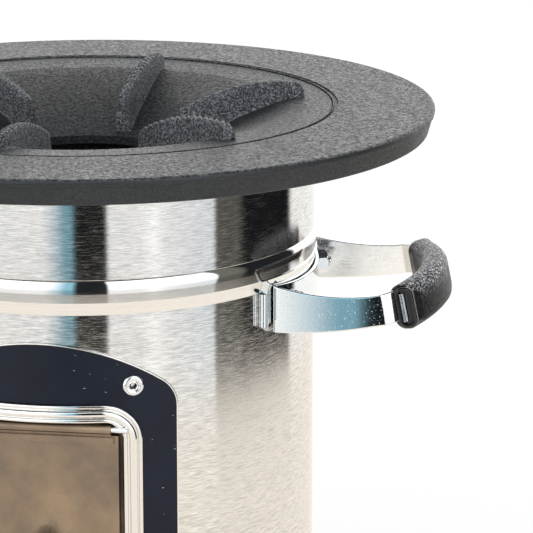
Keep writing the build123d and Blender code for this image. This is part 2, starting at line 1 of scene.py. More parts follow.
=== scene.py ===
# %% [markdown]
# # A wood-burning rocket stove
# The stove is a steel drum with an insulated riser inside, a cast-iron cooktop on top,
# a small fuel opening in front and a bow handle on each side. The solids come in as a
# fixed frame. Here they get their finishes, and the pieces whose shape follows a rule
# are made again, smoother and with more detail.

# %% Load the frame
import json
from math import asin, atan2, cos, degrees, hypot, pi, radians, sin, sqrt, tan

import bmesh
import bpy
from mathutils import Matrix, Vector


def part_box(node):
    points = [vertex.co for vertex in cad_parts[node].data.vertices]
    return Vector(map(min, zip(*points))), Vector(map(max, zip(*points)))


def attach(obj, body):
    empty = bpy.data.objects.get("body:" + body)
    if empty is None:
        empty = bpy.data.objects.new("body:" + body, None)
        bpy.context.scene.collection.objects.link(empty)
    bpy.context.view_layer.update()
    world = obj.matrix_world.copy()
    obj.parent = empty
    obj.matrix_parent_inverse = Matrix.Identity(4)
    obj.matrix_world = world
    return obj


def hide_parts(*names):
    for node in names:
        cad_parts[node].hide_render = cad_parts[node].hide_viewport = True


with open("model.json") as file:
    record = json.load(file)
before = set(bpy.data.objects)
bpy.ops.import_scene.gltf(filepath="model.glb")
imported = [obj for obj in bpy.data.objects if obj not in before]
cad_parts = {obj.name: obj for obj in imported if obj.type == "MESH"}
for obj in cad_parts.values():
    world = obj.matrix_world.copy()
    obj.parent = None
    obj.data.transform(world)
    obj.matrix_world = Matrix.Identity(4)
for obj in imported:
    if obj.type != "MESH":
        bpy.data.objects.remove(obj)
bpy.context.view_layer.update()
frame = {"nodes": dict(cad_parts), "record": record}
nodes = frame["nodes"]

# %% [markdown]
# ## Camera
# A long lens from a little above and to the right. A long lens keeps the round cooktop
# close to a true ellipse, which is how such a product is usually shown.

# %% Camera
LENS, SENSOR = 202.2, 36.0
CAMERA_PLACE = Vector((0.2885, -1.3575, 0.5709))
CAMERA_AIM = Vector((-0.1423, 0.9571, -0.2523))


def put(name, data):
    """An object with this data, linked to the scene."""
    thing = bpy.data.objects.new(name, data)
    bpy.context.scene.collection.objects.link(thing)
    return thing


def stand(thing, place, direction):
    """Stands a camera or a lamp at a place and lets it look in a direction."""
    thing.location = place
    thing.rotation_mode = "QUATERNION"
    thing.rotation_quaternion = direction.to_track_quat("-Z", "Y")


camera_data = bpy.data.cameras.new("studio_camera")
camera_data.lens, camera_data.sensor_width = LENS, SENSOR
camera = put("studio_camera", camera_data)
stand(camera, CAMERA_PLACE, CAMERA_AIM)
bpy.context.scene.camera = camera
bpy.context.scene.view_settings.view_transform = "Standard"
print("camera looks down by", round(degrees(asin(-CAMERA_AIM.z)), 1), "degrees")

# %% [markdown]
# ## Studio
# Polished and brushed steel show what stands round them, so the studio is built for the
# metal first: tall white softboxes with dark gaps between them, which draw the upright
# bands on the drum. The world carries them by direction, so they stay put when the
# camera moves. The camera itself sees a plain white backdrop.

# %% Node helpers
def feed(tree, socket, value):
    """Fills an input with a number or a tuple, or links a node or an output to it."""
    if isinstance(value, bpy.types.Node):
        value = value.outputs[0]
    if isinstance(value, bpy.types.NodeSocket):
        tree.links.new(value, socket)
    elif socket.type == "RGBA":
        socket.default_value = (*value, 1.0)
    else:
        socket.default_value = value


def add(tree, kind, inputs=None, **settings):
    """A new node with its settings, and its inputs by name or by number."""
    own = {"SHADER": "ShaderNode", "GEOMETRY": "GeometryNode"}[tree.type]
    node = tree.nodes.new(kind if "Node" in kind else own + kind)
    for name, value in settings.items():
        setattr(node, name, value)
    for key, value in (inputs or {}).items():
        feed(tree, node.inputs[key], value)
    return node


def math_node(tree, operation, first, second=None):
    inputs = {0: first} if second is None else {0: first, 1: second}
    return add(tree, "ShaderNodeMath", inputs, operation=operation)


def times(tree, first, second):
    return math_node(tree, "MULTIPLY", first, second)


def plus(tree, first, second):
    return math_node(tree, "ADD", first, second)


def split(tree, vector):
    """The x, y and z outputs of a vector."""
    return add(tree, "ShaderNodeSeparateXYZ", {0: vector}).outputs


def ramp_node(tree, factor, stops):
    """A colour ramp from (position, (r, g, b)) stops."""
    node = add(tree, "ShaderNodeValToRGB", {0: factor})
    elements = node.color_ramp.elements
    while len(elements) < len(stops):
        elements.new(0.5)
    for element, (place, colour) in zip(elements, stops):
        element.position = place
        element.color = (*colour, 1.0)
    return node


def mix_colour(tree, factor, first, second, blend="MIX"):
    inputs = {0: factor, 6: first, 7: second}
    return add(tree, "ShaderNodeMix", inputs, data_type="RGBA", blend_type=blend).outputs[2]


def tinted(tree, first, second):
    """One colour times another."""
    return mix_colour(tree, 1.0, first, second, "MULTIPLY")


def grey(value):
    return (value, value, value)


print("node helpers ready")

# %% World
WHITE = grey(1.0)
SOFTBOX = (1.00, 1.00, 0.985)
HOT = (1.22, 1.22, 1.20)
COOL = (0.86, 0.90, 0.93)
GAP = (0.010, 0.011, 0.012)
SILVER = (0.55, 0.66, 0.72)
TEAL = (0.21, 0.40, 0.48)
HALF_GAP = (0.105, 0.105, 0.09)
BEYOND = (1.05, 1.035, 1.0)
CEILING = (0.10, 0.10, 0.105)
UPPER_BOOST = (1.65, 1.65, 1.68)
SKIRT = grey(0.26)
# heading in degrees (0 is the front, positive to the right) and what stands there
LOW_RING = [
    (-180, BEYOND), (-138, BEYOND), (-136, GAP), (-96, GAP), (-94, SOFTBOX), (-9.5, SOFTBOX),
    (-3, SILVER), (1.2, TEAL), (5.0, TEAL), (6.0, GAP), (21.2, GAP), (21.6, SOFTBOX), (38, SOFTBOX),
    (45, HOT), (52, SOFTBOX), (68, COOL), (78, COOL), (78.5, HALF_GAP), (92, HALF_GAP), (97, GAP),
    (133, GAP), (136, BEYOND), (180, BEYOND),
]
HIGH_RING = [(-180, GAP), (-96, GAP), (-94, SOFTBOX), (79, SOFTBOX), (81, GAP), (180, GAP)]

world = bpy.data.worlds.new("studio_world")
bpy.context.scene.world = world
world.use_nodes = True
tree = world.node_tree
tree.nodes.clear()
axes = split(tree, add(tree, "TexCoord").outputs["Generated"])
heading = math_node(tree, "ARCTAN2", axes[0], times(tree, axes[1], -1.0))
around = plus(tree, math_node(tree, "DIVIDE", heading, 2 * pi), 0.5)
sine = plus(tree, times(tree, axes[2], 0.5), 0.5)


def by_heading(stops):
    return ramp_node(tree, around, [((angle + 180) / 360, colour) for angle, colour in stops])


def by_elevation(low, high, below, above):
    """One colour below the lower elevation and another above the higher, in degrees."""
    start, stop = [0.5 + 0.5 * sin(radians(angle)) for angle in (low, high)]
    return mix_colour(tree, ramp_node(tree, sine, [(start, grey(0.0)), (stop, WHITE)]), below, above)


studio = by_elevation(42, 56, by_heading(LOW_RING), by_heading(HIGH_RING))
studio = tinted(tree, studio, by_elevation(-10, -3, WHITE, UPPER_BOOST))
studio = by_elevation(72, 80, studio, CEILING)
studio = tinted(tree, studio, by_elevation(-19.4, -18.3, SKIRT, WHITE))
seen = mix_colour(tree, add(tree, "LightPath").outputs["Is Camera Ray"], studio, WHITE)
add(tree, "OutputWorld", {0: add(tree, "Background", {"Color": seen})})
print("headings in the ring:", len(LOW_RING))

# %% Floor and lamps
FLOOR_REACH, FLOOR_Z, FLOOR_PAINT, FLOOR_GLOW = 6.0, -0.0002, grey(0.86), 0.82
TABLE_R, TABLE_GLOW = 0.67, (1.03, 0.955, 0.855)


def kept(form, name, finish=None):
    """Ends a bmesh as a mesh, with its finish."""
    mesh = bpy.data.meshes.new(name)
    form.to_mesh(mesh)
    form.free()
    if finish:
        mesh.materials.append(finish)
    return mesh


def opened(mesh):
    """A bmesh with the mesh's geometry."""
    form = bmesh.new()
    form.from_mesh(mesh)
    return form


def whole(form):
    return form.verts[:] + form.edges[:] + form.faces[:]


def bare_finish(name):
    """A material with an empty tree."""
    finish = bpy.data.materials.new(name)
    finish.use_nodes = True
    finish.node_tree.nodes.clear()
    return finish, finish.node_tree


def plain_floor():
    finish, nt = bare_finish("floor_paint")
    share = times(nt, add(nt, "LightPath").outputs["Is Camera Ray"], FLOOR_GLOW)
    paint = add(nt, "BsdfDiffuse", {"Color": FLOOR_PAINT})
    mix = add(nt, "MixShader", {0: share, 1: paint, 2: add(nt, "Emission")})
    add(nt, "OutputMaterial", {0: mix})
    form = bmesh.new()
    form.faces.new([form.verts.new((x * FLOOR_REACH, y * FLOOR_REACH, FLOOR_Z))
                    for x, y in ((-1, -1), (1, -1), (1, 1), (-1, 1))])
    floor = put("floor", kept(form, "floor", finish))
    floor.visible_glossy = False


def table_glow():
    """The pale table near the stove, seen only in the metal's reflections."""
    finish, nt = bare_finish("table_glow_paint")
    add(nt, "OutputMaterial", {0: add(nt, "Emission", {"Color": TABLE_GLOW})})
    form = bmesh.new()
    bmesh.ops.create_circle(form, cap_ends=True, segments=96, radius=TABLE_R)
    table = put("table_glow", kept(form, "table_glow", finish))
    for ray in ("camera", "diffuse", "transmission", "volume_scatter", "shadow"):
        setattr(table, "visible_" + ray, False)


def softbox(name, place, aim, wide, high, watts):
    """An area lamp that points at the stove; metal sees the world's softboxes instead."""
    data = bpy.data.lights.new(name, "AREA")
    data.shape = "RECTANGLE"
    data.size, data.size_y, data.energy = wide, high, watts
    lamp = put(name, data)
    stand(lamp, place, Vector(aim) - Vector(place))
    lamp.visible_glossy = False


plain_floor()
table_glow()
softbox("key_lamp", (1.5, -1.0, 1.8), (0, 0, 0.2), 1.2, 1.2, 17.0)
softbox("back_lamp", (-0.6, 1.8, 1.5), (0, 0, 0.25), 1.6, 1.0, 14.0)

# %% [markdown]
# ## Finishes
# Every finish is procedural and reads Object coordinates, so it keeps its scale on each
# piece. A finish is a Principled shader with noise for its colour, roughness and bump.

# %% Finish helpers
def new_finish(name, colour, metal, rough, **sockets):
    """A material with a Principled shader; returns it with its tree and shader."""
    material = bpy.data.materials.new(name)
    material.use_nodes = True
    nt = material.node_tree
    shader = nt.nodes["Principled BSDF"]
    for socket, value in {"Base Color": colour, "Metallic": metal, "Roughness": rough, **sockets}.items():
        feed(nt, shader.inputs[socket.replace("_", " ")], value)
    return material, nt, shader


def noise(nt, scale, detail, rough, turn=(0, 0, 0)):
    """Noise over Object coordinates; a scale of three numbers stretches it."""
    place = add(nt, "TexCoord").outputs["Object"]
    if isinstance(scale, tuple):
        place = add(nt, "Mapping", {"Vector": place, "Rotation": turn, "Scale": scale})
        scale = 1.0
    return add(nt, "TexNoise",
               {"Vector": place, "Scale": scale, "Detail": detail, "Roughness": rough})


def spread(nt, source, low, high, start=0.3, stop=0.7):
    """Maps a noise value onto a range, as a grey ramp."""
    return ramp_node(nt, source, [(start, grey(low)), (stop, grey(high))])


def dressed(made, colour, rough, height, depth):
    """Links a finish's colour and roughness, if any, and its bump; returns the material."""
    material, nt, shader = made
    bump = add(nt, "Bump", {"Strength": 1.0, "Distance": depth, "Height": height})
    for socket, source in (("Base Color", colour), ("Roughness", rough), ("Normal", bump)):
        if source is not None:
            feed(nt, shader.inputs[socket], source)
    return material


print("finish helpers ready")

# %% [markdown]
# ### Cast iron
# Sand casting leaves a fine, even grain with a few darker pits. Two noises make the
# tone: one as fine as the sand, one broader for patches that were handled more. Inside
# the bell mouth the colour is darkened as painted shade. The pan fins keep a coarser
# skin and a paler tone, which is painted light, and the rim's edge is machined nearly
# smooth, with a darker tone that is painted shade.

# %% Cast iron
def cast_iron_finish(name, dark, middle, light, scale, depth, mouth_painted_shade=1.0):
    """Sand grain from three greys; the last argument is the tone of the painted shade inside the bell
    mouth.
    """
    made = new_finish(name, grey(middle), 0.0, 0.4, Specular_IOR_Level=0.45,
                      Specular_Tint=(0.90, 0.95, 1.0))
    nt = made[1]
    sand = noise(nt, scale, 3.0, 0.75)
    patches = noise(nt, 45.0, 5.0, 0.6)
    speckle = ramp_node(nt, sand, [(0.38, grey(dark)), (0.50, grey(middle)), (0.64, grey(light))])
    tone = tinted(nt, speckle, tinted(nt, spread(nt, patches, 0.85, 1.12), (0.94, 1.0, 1.08)))
    axes = split(nt, add(nt, "TexCoord").outputs["Object"])
    x_square, y_square = [math_node(nt, "POWER", axis, 2.0) for axis in axes[:2]]
    radius = math_node(nt, "SQRT", plus(nt, x_square, y_square))
    # the colour inside the bell mouth is darkened: painted shade
    mouth = spread(nt, times(nt, radius, 5.0), mouth_painted_shade, 1.0, 0.44, 0.49)
    return dressed(made, tinted(nt, tone, mouth), spread(nt, sand, 0.62, 0.26, 0.36, 0.64), sand, depth)


cast_iron = cast_iron_finish("cast_iron_sand_grain", 0.004, 0.027, 0.09, 640.0, 0.0007, 0.35)
# the fins' paler greys are painted light: a lit copy of the cast iron
fin_iron_painted_light = cast_iron_finish("cast_iron_coarse_grain_and_painted_light", 0.008, 0.052, 0.26, 1050.0, 0.0006)
# the machined edge: a smoother grain, and a darker tone that is painted shade
edge_iron_painted_shade = cast_iron_finish("cast_iron_machined_edge_and_painted_shade", 0.015, 0.020, 0.028, 900.0, 0.00008)
print(cast_iron.name, fin_iron_painted_light.name, edge_iron_painted_shade.name)

# %% [markdown]
# ### Brushed and polished stainless
# The drum sheet is brushed round the drum, so each scratch is a thin level line. Such a
# grain smears reflections up and down but leaves them sharp sideways: that is what the
# anisotropic shader does, with a tangent that runs round the Z axis.

# %% Stainless
def brushed_finish(name, colour, rough, streaks, grain):
    made = new_finish(name, colour, 1.0, rough, Anisotropic=1.0, Anisotropic_Rotation=0.25)
    _, nt, shader = made
    feed(nt, shader.inputs["Tangent"], add(nt, "Tangent", direction_type="RADIAL", axis="Z"))
    scratches = noise(nt, (170, 170, 2100), 3.0, 0.7)
    broad = noise(nt, (28, 28, 420), 2.0, 0.5)
    shade = spread(nt, scratches, 1.0 - streaks, 1.0 + 0.65 * streaks)
    tone = tinted(nt, tinted(nt, colour, shade), spread(nt, broad, 0.97, 1.02))
    dull = spread(nt, scratches, rough, rough + 0.25 * streaks, 0.46, 0.70)
    return dressed(made, tone, dull, scratches, grain)


def polished_finish(name, colour, rough):
    made = new_finish(name, colour, 1.0, rough)
    smudge = noise(made[1], (60, 60, 90), 3.0, 0.6)
    hairline = noise(made[1], (300, 300, 5200), 2.0, 0.6)
    return dressed(made, None, spread(made[1], smudge, rough * 0.7, rough * 1.6), hairline, 0.000012)


brushed_steel = brushed_finish("stainless_brushed_round", (0.80, 0.795, 0.785), 0.075, 0.34, 0.000012)
rolled_steel = brushed_finish("stainless_rolled_bead", (0.86, 0.855, 0.845), 0.08, 0.05, 0.000003)
polished_steel = polished_finish("stainless_polished", (0.84, 0.835, 0.82), 0.05)
print(brushed_steel.name, rolled_steel.name, polished_steel.name)

# %% [markdown]
# ### Painted, heat-browned, zinc-plated and moulded finishes
# The fascia is a satin blue-black paint with a few scratches. The door and the chamber
# have seen fire. The handle straps and the small hardware are zinc-plated, dulled in
# specks. The grips are moulded plastic with a spark-eroded grain and smooth ends.

# %% Other finishes
def painted_finish(name, colour, rough, scratch=0.0):
    made = new_finish(name, colour, 0.0, rough, Specular_IOR_Level=0.17)
    nt = made[1]
    peel = noise(nt, 900.0, 3.0, 0.6)
    tone = tinted(nt, colour, spread(nt, noise(nt, 40.0, 4.0, 0.6), 0.85, 1.15))
    if scratch:
        marks = noise(nt, (170, 700, 1100), 2.0, 0.5, (0, 0.15, 0.1))
        worn = times(nt, spread(nt, marks, 0.0, 1.0, 0.745, 0.76), scratch)
        tone = mix_colour(nt, worn, tone, (0.55, 0.57, 0.6))
    return dressed(made, tone, spread(nt, peel, rough * 0.85, rough * 1.2), peel, 0.00004)


def scorched_finish(name, cool, hot, rough):
    made = new_finish(name, cool, 0.85, rough)
    nt = made[1]
    clouds = noise(nt, 34.0, 5.0, 0.6)
    tone = ramp_node(nt, clouds, [(0.35, cool), (0.65, hot)])
    dull = spread(nt, clouds, rough * 0.8, min(1.0, rough * 1.3))
    return dressed(made, tone, dull, noise(nt, 700.0, 2.0, 0.6), 0.00006)


def zinc_finish(name, colour, rough, pits, dark=0.82):
    """Bright plating with dull specks; dark is the tone of the specks."""
    made = new_finish(name, colour, 1.0, rough)
    nt = made[1]
    speck = noise(nt, 1300.0, 2.0, 0.6)
    wipe = noise(nt, (220, 220, 900), 3.0, 0.6, (0.5, 0.3, 0.2))
    dull = plus(nt, spread(nt, wipe, rough * 0.7, rough * 1.25),
                     spread(nt, speck, 0.0, 0.5, 0.65, 0.71))
    return dressed(made, tinted(nt, colour, spread(nt, speck, dark, 1.0, 0.34, 0.5)), dull, speck, pits)


def fibre_finish():
    made = new_finish("ceramic_fibre_blanket", (0.8, 0.78, 0.72), 0.0, 0.95)
    strands = noise(made[1], (260, 260, 900), 5.0, 0.7)
    tone = ramp_node(made[1], strands, [(0.3, (0.6, 0.58, 0.52)), (0.7, (0.85, 0.83, 0.78))])
    return dressed(made, tone, None, strands, 0.0008)


def grip_finish(low_z, high_z):
    """Grained black moulding whose grain is painted paler towards its top: painted sheen."""
    made = new_finish("moulded_black_grain", (0.018, 0.018, 0.02), 0.0, 0.5, Specular_IOR_Level=0.12)
    nt = made[1]
    grain = noise(nt, 900.0, 3.0, 0.75)
    height = split(nt, add(nt, "TexCoord").outputs["Object"])[2]
    # pale grain towards the top: painted sheen of the light from above
    painted_top_sheen = times(nt, spread(nt, grain, 0.0, 1.0, 0.50, 0.60),
                     spread(nt, height, 0.03, 1.0, low_z, high_z))
    tone = mix_colour(nt, painted_top_sheen, (0.002, 0.002, 0.0025), (0.62, 0.64, 0.67))
    return dressed(made, tone, spread(nt, grain, 0.46, 0.26), grain, 0.00032)


def smooth_grip_finish():
    made = new_finish("moulded_black_smooth", (0.010, 0.010, 0.012), 0.0, 0.22,
                      Specular_IOR_Level=0.45, IOR=1.5)
    swirl = noise(made[1], 420.0, 2.0, 0.5)
    return dressed(made, None, spread(made[1], swirl, 0.18, 0.32), swirl, 0.00005)


fascia_paint = painted_finish("fascia_satin_blue_black", (0.009, 0.012, 0.021), 0.36, 0.8)
# the base's satin black, also used inside the rivet bores as painted shade
satin_black_and_bore_shade = painted_finish("base_satin_black_and_rivet_bore_shade", (0.02, 0.02, 0.022), 0.42)
chamber_steel = scorched_finish("chamber_scorched_steel", (0.22, 0.17, 0.13), (0.05, 0.042, 0.038), 0.5)
door_steel = scorched_finish("door_browned_steel", (0.34, 0.25, 0.17), (0.20, 0.155, 0.12), 0.30)
bright_rivet = zinc_finish("rivet_bright", (0.84, 0.85, 0.88), 0.16, 0.00002)
zinc_hardware = zinc_finish("hardware_bright_zinc", (0.80, 0.83, 0.86), 0.12, 0.00002)
strap_zinc = zinc_finish("strap_bright_zinc", (0.88, 0.91, 0.92), 0.06, 0.000005, 0.88)
inner_zinc = zinc_finish("strap_inner_zinc", (0.985, 0.98, 0.97), 0.22, 0.000005, 0.98)
# the strap's folded end is toned darker than the strap: painted shade of the grip's mouth
tab_zinc_painted_shade = zinc_finish("strap_end_zinc_painted_shade", (0.36, 0.385, 0.41), 0.26, 0.00004, 0.45)
fibre = fibre_finish()
# the painted sheen starts at the first distance below the grip's top and is full at the second
SHEEN_START_DROP, SHEEN_FULL_DROP = 0.008, 0.001
grip_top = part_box("handle_grip_right")[1].z
grip_grain = grip_finish(grip_top - SHEEN_START_DROP, grip_top - SHEEN_FULL_DROP)
grip_smooth = smooth_grip_finish()
print("finishes:", len(bpy.data.materials))

# %% Give each solid its finish
SOLID_FINISH = {
    "cast_iron": cast_iron, "brushed_steel": brushed_steel, "polished_steel": polished_steel,
    "base_steel": satin_black_and_bore_shade, "chamber_steel": chamber_steel, "insulation": fibre,
    "fascia": fascia_paint, "rivet": bright_rivet, "zinc_hardware": zinc_hardware,
    "door_steel": door_steel, "handle_chrome": strap_zinc, "grip": grip_grain,
}
for part in frame["record"]["subparts"]:
    for place in nodes[part["node"]].material_slots:
        place.material = SOLID_FINISH[part["material_slot"]]

# %% [markdown]
# ## Pieces
# The solids are exact but plain. What a hand would notice on the real stove, such as a
# softened edge, a rolled bead or the teeth on a pan fin, is made here. Every size comes
# from the frame's boxes or is named once, in millimetres times MM.

# %% Measures
MM = 0.001
rim_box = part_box("cooktop_rim")
drum_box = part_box("lower_drum")
TOP = rim_box[1].z
RIM_R = rim_box[1].x
DRUM_R = drum_box[1].x - 2.5 * MM
BEAD_Z = TOP - 74.7 * MM
JOINT_R = DRUM_R + 8.8 * MM
SHEET = 0.8 * MM
print("top", round(TOP, 4), "drum radius", round(DRUM_R, 4), "bead", round(BEAD_Z, 4))

# %% Piece helpers
def shaded(mesh, sharp=32):
    mesh.shade_smooth()
    mesh.set_sharp_from_angle(angle=radians(sharp))


def turned_to_mesh(name, mesh, sharp=32):
    """Merges a mesh, turns its faces outwards, shades it and fixes it to the stove."""
    form = opened(mesh)
    bmesh.ops.remove_doubles(form, verts=form.verts, dist=1e-6)
    bmesh.ops.recalc_face_normals(form, faces=form.faces)
    form.to_mesh(mesh)
    form.free()
    shaded(mesh, sharp)
    mesh.name = name
    piece = put(name, mesh)
    even = piece.modifiers.new("even_shading", "WEIGHTED_NORMAL")
    even.keep_sharp = True
    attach(piece, "stove")
    return piece


def paint_faces(piece, finish, chosen):
    """Gives a second finish to the faces that a rule picks by their middle and direction."""
    piece.data.materials.append(finish)
    for face in piece.data.polygons:
        if chosen(face.center, face.normal):
            face.material_index = len(piece.data.materials) - 1


def shares(steps):
    """Even steps from 0 to 1."""
    return [step / steps for step in range(steps + 1)]


def arc(centre, radius, start, stop, steps=12):
    """Points (x, y) on an arc; the angles are in degrees."""
    angles = [radians(start + (stop - start) * share) for share in shares(steps)]
    return [(centre[0] + radius * cos(angle), centre[1] + radius * sin(angle)) for angle in angles]


def rounded(corners, steps=6):
    """A closed outline of points from (x, y, rounding) corners."""
    points = []
    for index, (x, y, rounding) in enumerate(corners):
        here = Vector((x, y))
        if rounding == 0:
            points.append((x, y))
            continue
        before = (Vector(corners[index - 1][:2]) - here).normalized()
        after = (Vector(corners[(index + 1) % len(corners)][:2]) - here).normalized()
        half = before.angle(after) / 2
        centre = here + (before + after).normalized() * rounding / sin(half)
        first = here + before * rounding / tan(half) - centre
        last = here + after * rounding / tan(half) - centre
        start = atan2(first.y, first.x)
        sweep = (atan2(last.y, last.x) - start + pi) % (2 * pi) - pi
        points += arc(centre, rounding, degrees(start), degrees(start + sweep), steps)
    return points


def rounded_box(x, low, high, soft, steps):
    """The outline of a box from -x to x and from low to high, with rounded corners."""
    return rounded([(x, low, soft), (x, high, soft), (-x, high, soft), (-x, low, soft)], steps)


def lofted(name, rings, finish=None, ends="capped"):
    """A mesh through rings of points; its ends are capped, open, or joined to each other."""
    form = bmesh.new()
    rows = [[form.verts.new(point) for point in points] for points in rings]
    following = rows[1:] + rows[:1] if ends == "joined" else rows[1:]
    for first, second in zip(rows, following):
        for k in range(max(len(first), len(second))):
            corners = [first[k % len(first)], first[(k + 1) % len(first)],
                       second[(k + 1) % len(second)], second[k % len(second)]]
            form.faces.new(list(dict.fromkeys(corners)))
    if ends == "capped":
        form.faces.new(rows[0])
        form.faces.new(rows[-1])
    return kept(form, name, finish)


def outline_curve(name, points):
    """A closed curve through (x, y) points, for a tree to sweep."""
    data = bpy.data.curves.new(name, "CURVE")
    data.dimensions = "3D"
    spline = data.splines.new("POLY")
    spline.points.add(len(points) - 1)
    for point, (x, y) in zip(spline.points, points):
        point.co = (x, y, 0, 1)
    spline.use_cyclic_u = True
    return data


print("piece helpers ready")

# %% [markdown]
# ### Geometry Nodes helpers
# A tree is built once and then run with different sizes. Each tree takes the object's
# own curve or mesh, and ends in Realize Instances and Set Material, so the result can be
# kept as a plain mesh.

# %% Trees
def open_tree(name, *sockets):
    """A tree with a Geometry input, inputs from (name, kind, value) and a Finish input."""
    tree = bpy.data.node_groups.new(name, "GeometryNodeTree")
    for label, kind, value in (("Geometry", "Geometry", None), *sockets, ("Finish", "Material", None)):
        socket = tree.interface.new_socket(label, in_out="INPUT", socket_type="NodeSocket" + kind)
        if value is not None:
            socket.default_value = value
    tree.interface.new_socket("Geometry", in_out="OUTPUT", socket_type="NodeSocketGeometry")
    return tree, add(tree, "NodeGroupInput").outputs


def close_tree(tree, given, geometry):
    real = add(tree, "RealizeInstances", {0: geometry})
    paint = add(tree, "SetMaterial", {"Geometry": real, "Material": given["Finish"]})
    add(tree, "NodeGroupOutput", {0: paint})
    return tree


def grow(name, data, tree, finish, sizes, sharp=32):
    """Runs a tree on a curve or mesh and keeps the result as a plain mesh piece."""
    source = put(name + "_source", data)
    modifier = source.modifiers.new("tree", "NODES")
    modifier.node_group = tree
    values = dict(sizes, Finish=finish)
    for socket in tree.interface.items_tree:
        if socket.in_out == "INPUT" and socket.name in values:
            modifier[socket.identifier] = values[socket.name]
    depsgraph = bpy.context.evaluated_depsgraph_get()
    mesh = bpy.data.meshes.new_from_object(source.evaluated_get(depsgraph), preserve_all_data_layers=True,
                                           depsgraph=depsgraph)
    bpy.data.objects.remove(source)
    return turned_to_mesh(name, mesh, sharp)


def turned_tree():
    """Sweeps an outline of (radius, height) points round the Z axis."""
    tree, given = open_tree("turned_about_the_axis", ("Segments", "Int", 160))
    start_r = 1 * MM
    circle = add(tree, "CurvePrimitiveCircle",
                 {"Radius": start_r, "Resolution": given["Segments"]})
    place = add(tree, "Transform",
                {"Geometry": given["Geometry"], "Translation": (-start_r, 0, 0), "Scale": (1, -1, 1)})
    sweep = add(tree, "CurveToMesh", {"Curve": circle, "Profile Curve": place})
    return close_tree(tree, given, sweep)


def combine(tree, x, y, z):
    return add(tree, "ShaderNodeCombineXYZ", {0: x, 1: y, 2: z})


def copies(tree, given, count, turn, rise):
    """The object's own mesh once per copy, turned about Z and lifted."""
    points = add(tree, "Points", {"Count": count, "Position": combine(tree, 0, 0, rise)})
    turned = add(tree, "FunctionNodeEulerToRotation", {0: combine(tree, 0, 0, turn)})
    return add(tree, "InstanceOnPoints",
               {"Points": points, "Instance": given["Geometry"], "Rotation": turned})


def ring_tree():
    """Copies spaced evenly round the axis, from a first heading in degrees."""
    tree, given = open_tree("ring_round_the_axis", ("Count", "Int", 6), ("First", "Float", 0.0))
    index = add(tree, "InputIndex")
    past = times(tree, index, math_node(tree, "DIVIDE", 360.0, given["Count"]))
    turn = math_node(tree, "RADIANS", plus(tree, given["First"], past))
    return close_tree(tree, given, copies(tree, given, given["Count"], turn, 0))


def pairs_tree():
    """Pairs of copies at plus and minus an angle; each next pair is turned and lifted."""
    tree, given = open_tree("mirrored_pairs", ("Pairs", "Int", 2), ("Heading", "Float", 0.0),
                            ("Half angle", "Float", 20.0), ("Turn", "Float", 0.0), ("Rise", "Float", 0.0))
    index = add(tree, "InputIndex")
    pair = math_node(tree, "FLOOR", math_node(tree, "DIVIDE", index, 2.0))
    second = math_node(tree, "SUBTRACT", index, times(tree, pair, 2.0))
    side = math_node(tree, "SUBTRACT", 1.0, times(tree, second, 2.0))
    heading = plus(tree, given["Heading"], times(tree, side, given["Half angle"]))
    heading = plus(tree, heading, times(tree, pair, given["Turn"]))
    turn = math_node(tree, "RADIANS", heading)
    count, rise = times(tree, given["Pairs"], 2.0), times(tree, pair, given["Rise"])
    return close_tree(tree, given, copies(tree, given, count, turn, rise))


def bent_trim_tree():
    """Sweeps a rounded bar along a flat path (x, height) and bends it on the drum's front."""
    tree, given = open_tree("trim_bent_on_the_drum", ("Width", "Float", 0.004), ("Thick", "Float", 0.002),
                            ("Corner", "Float", 0.001), ("Radius", "Float", 0.109),
                            ("Spacing", "Float", 0.0012))
    bar = add(tree, "CurvePrimitiveQuadrilateral",
              {"Width": given["Width"], "Height": given["Thick"]})
    soft = add(tree, "FilletCurve", {"Curve": bar, "Count": 5, "Radius": given["Corner"]},
               mode="POLY")
    even = add(tree, "ResampleCurve", {"Curve": given["Geometry"], "Length": given["Spacing"]},
               mode="LENGTH")
    sweep = add(tree, "CurveToMesh", {"Curve": even, "Profile Curve": soft})
    flat = split(tree, add(tree, "InputPosition"))
    radius = plus(tree, given["Radius"], flat[2])
    angle = math_node(tree, "ARCSINE", math_node(tree, "DIVIDE", flat[0], given["Radius"]))
    x = times(tree, radius, math_node(tree, "SINE", angle))
    y = times(tree, radius, math_node(tree, "COSINE", angle))
    bent = combine(tree, x, times(tree, y, -1.0), flat[1])
    bend = add(tree, "SetPosition", {"Geometry": sweep, "Position": bent})
    return close_tree(tree, given, bend)


turned, ring, pairs, bent_trim = turned_tree(), ring_tree(), pairs_tree(), bent_trim_tree()


def turned_piece(name, outline, finish):
    return grow(name, outline_curve(name + "_outline", outline), turned, finish, {"Segments": 240})


print("trees:", [group.name for group in (turned, ring, pairs, bent_trim)])

# %% [markdown]
# ### Cooktop rim
# A flat cast ring with a leaning edge. The mould's parting line shows as a fine step
# round the edge, and the top corner is softened. It is turned from one outline, so its
# shading stays even all the way round.

# %% Cooktop rim
# in mm: the edge's height and its lean, the plate, the groove by the joint, the parting step
EDGE, DRAFT, PLATE, GROOVE, STEP = 11.8, 3.2, 6.0, 1.0, 0.45
edge_top = RIM_R + 0.55 * MM


def from_point(x, z, corners):
    """Corners (x, height, rounding) that are given in mm from a point."""
    return [(x + a * MM, z + b * MM, c * MM) for a, b, c in corners]


def on_edge(drop, out, soft):
    """A corner on the leaning edge, some way below the top."""
    return out - DRAFT / EDGE * drop, -drop, soft


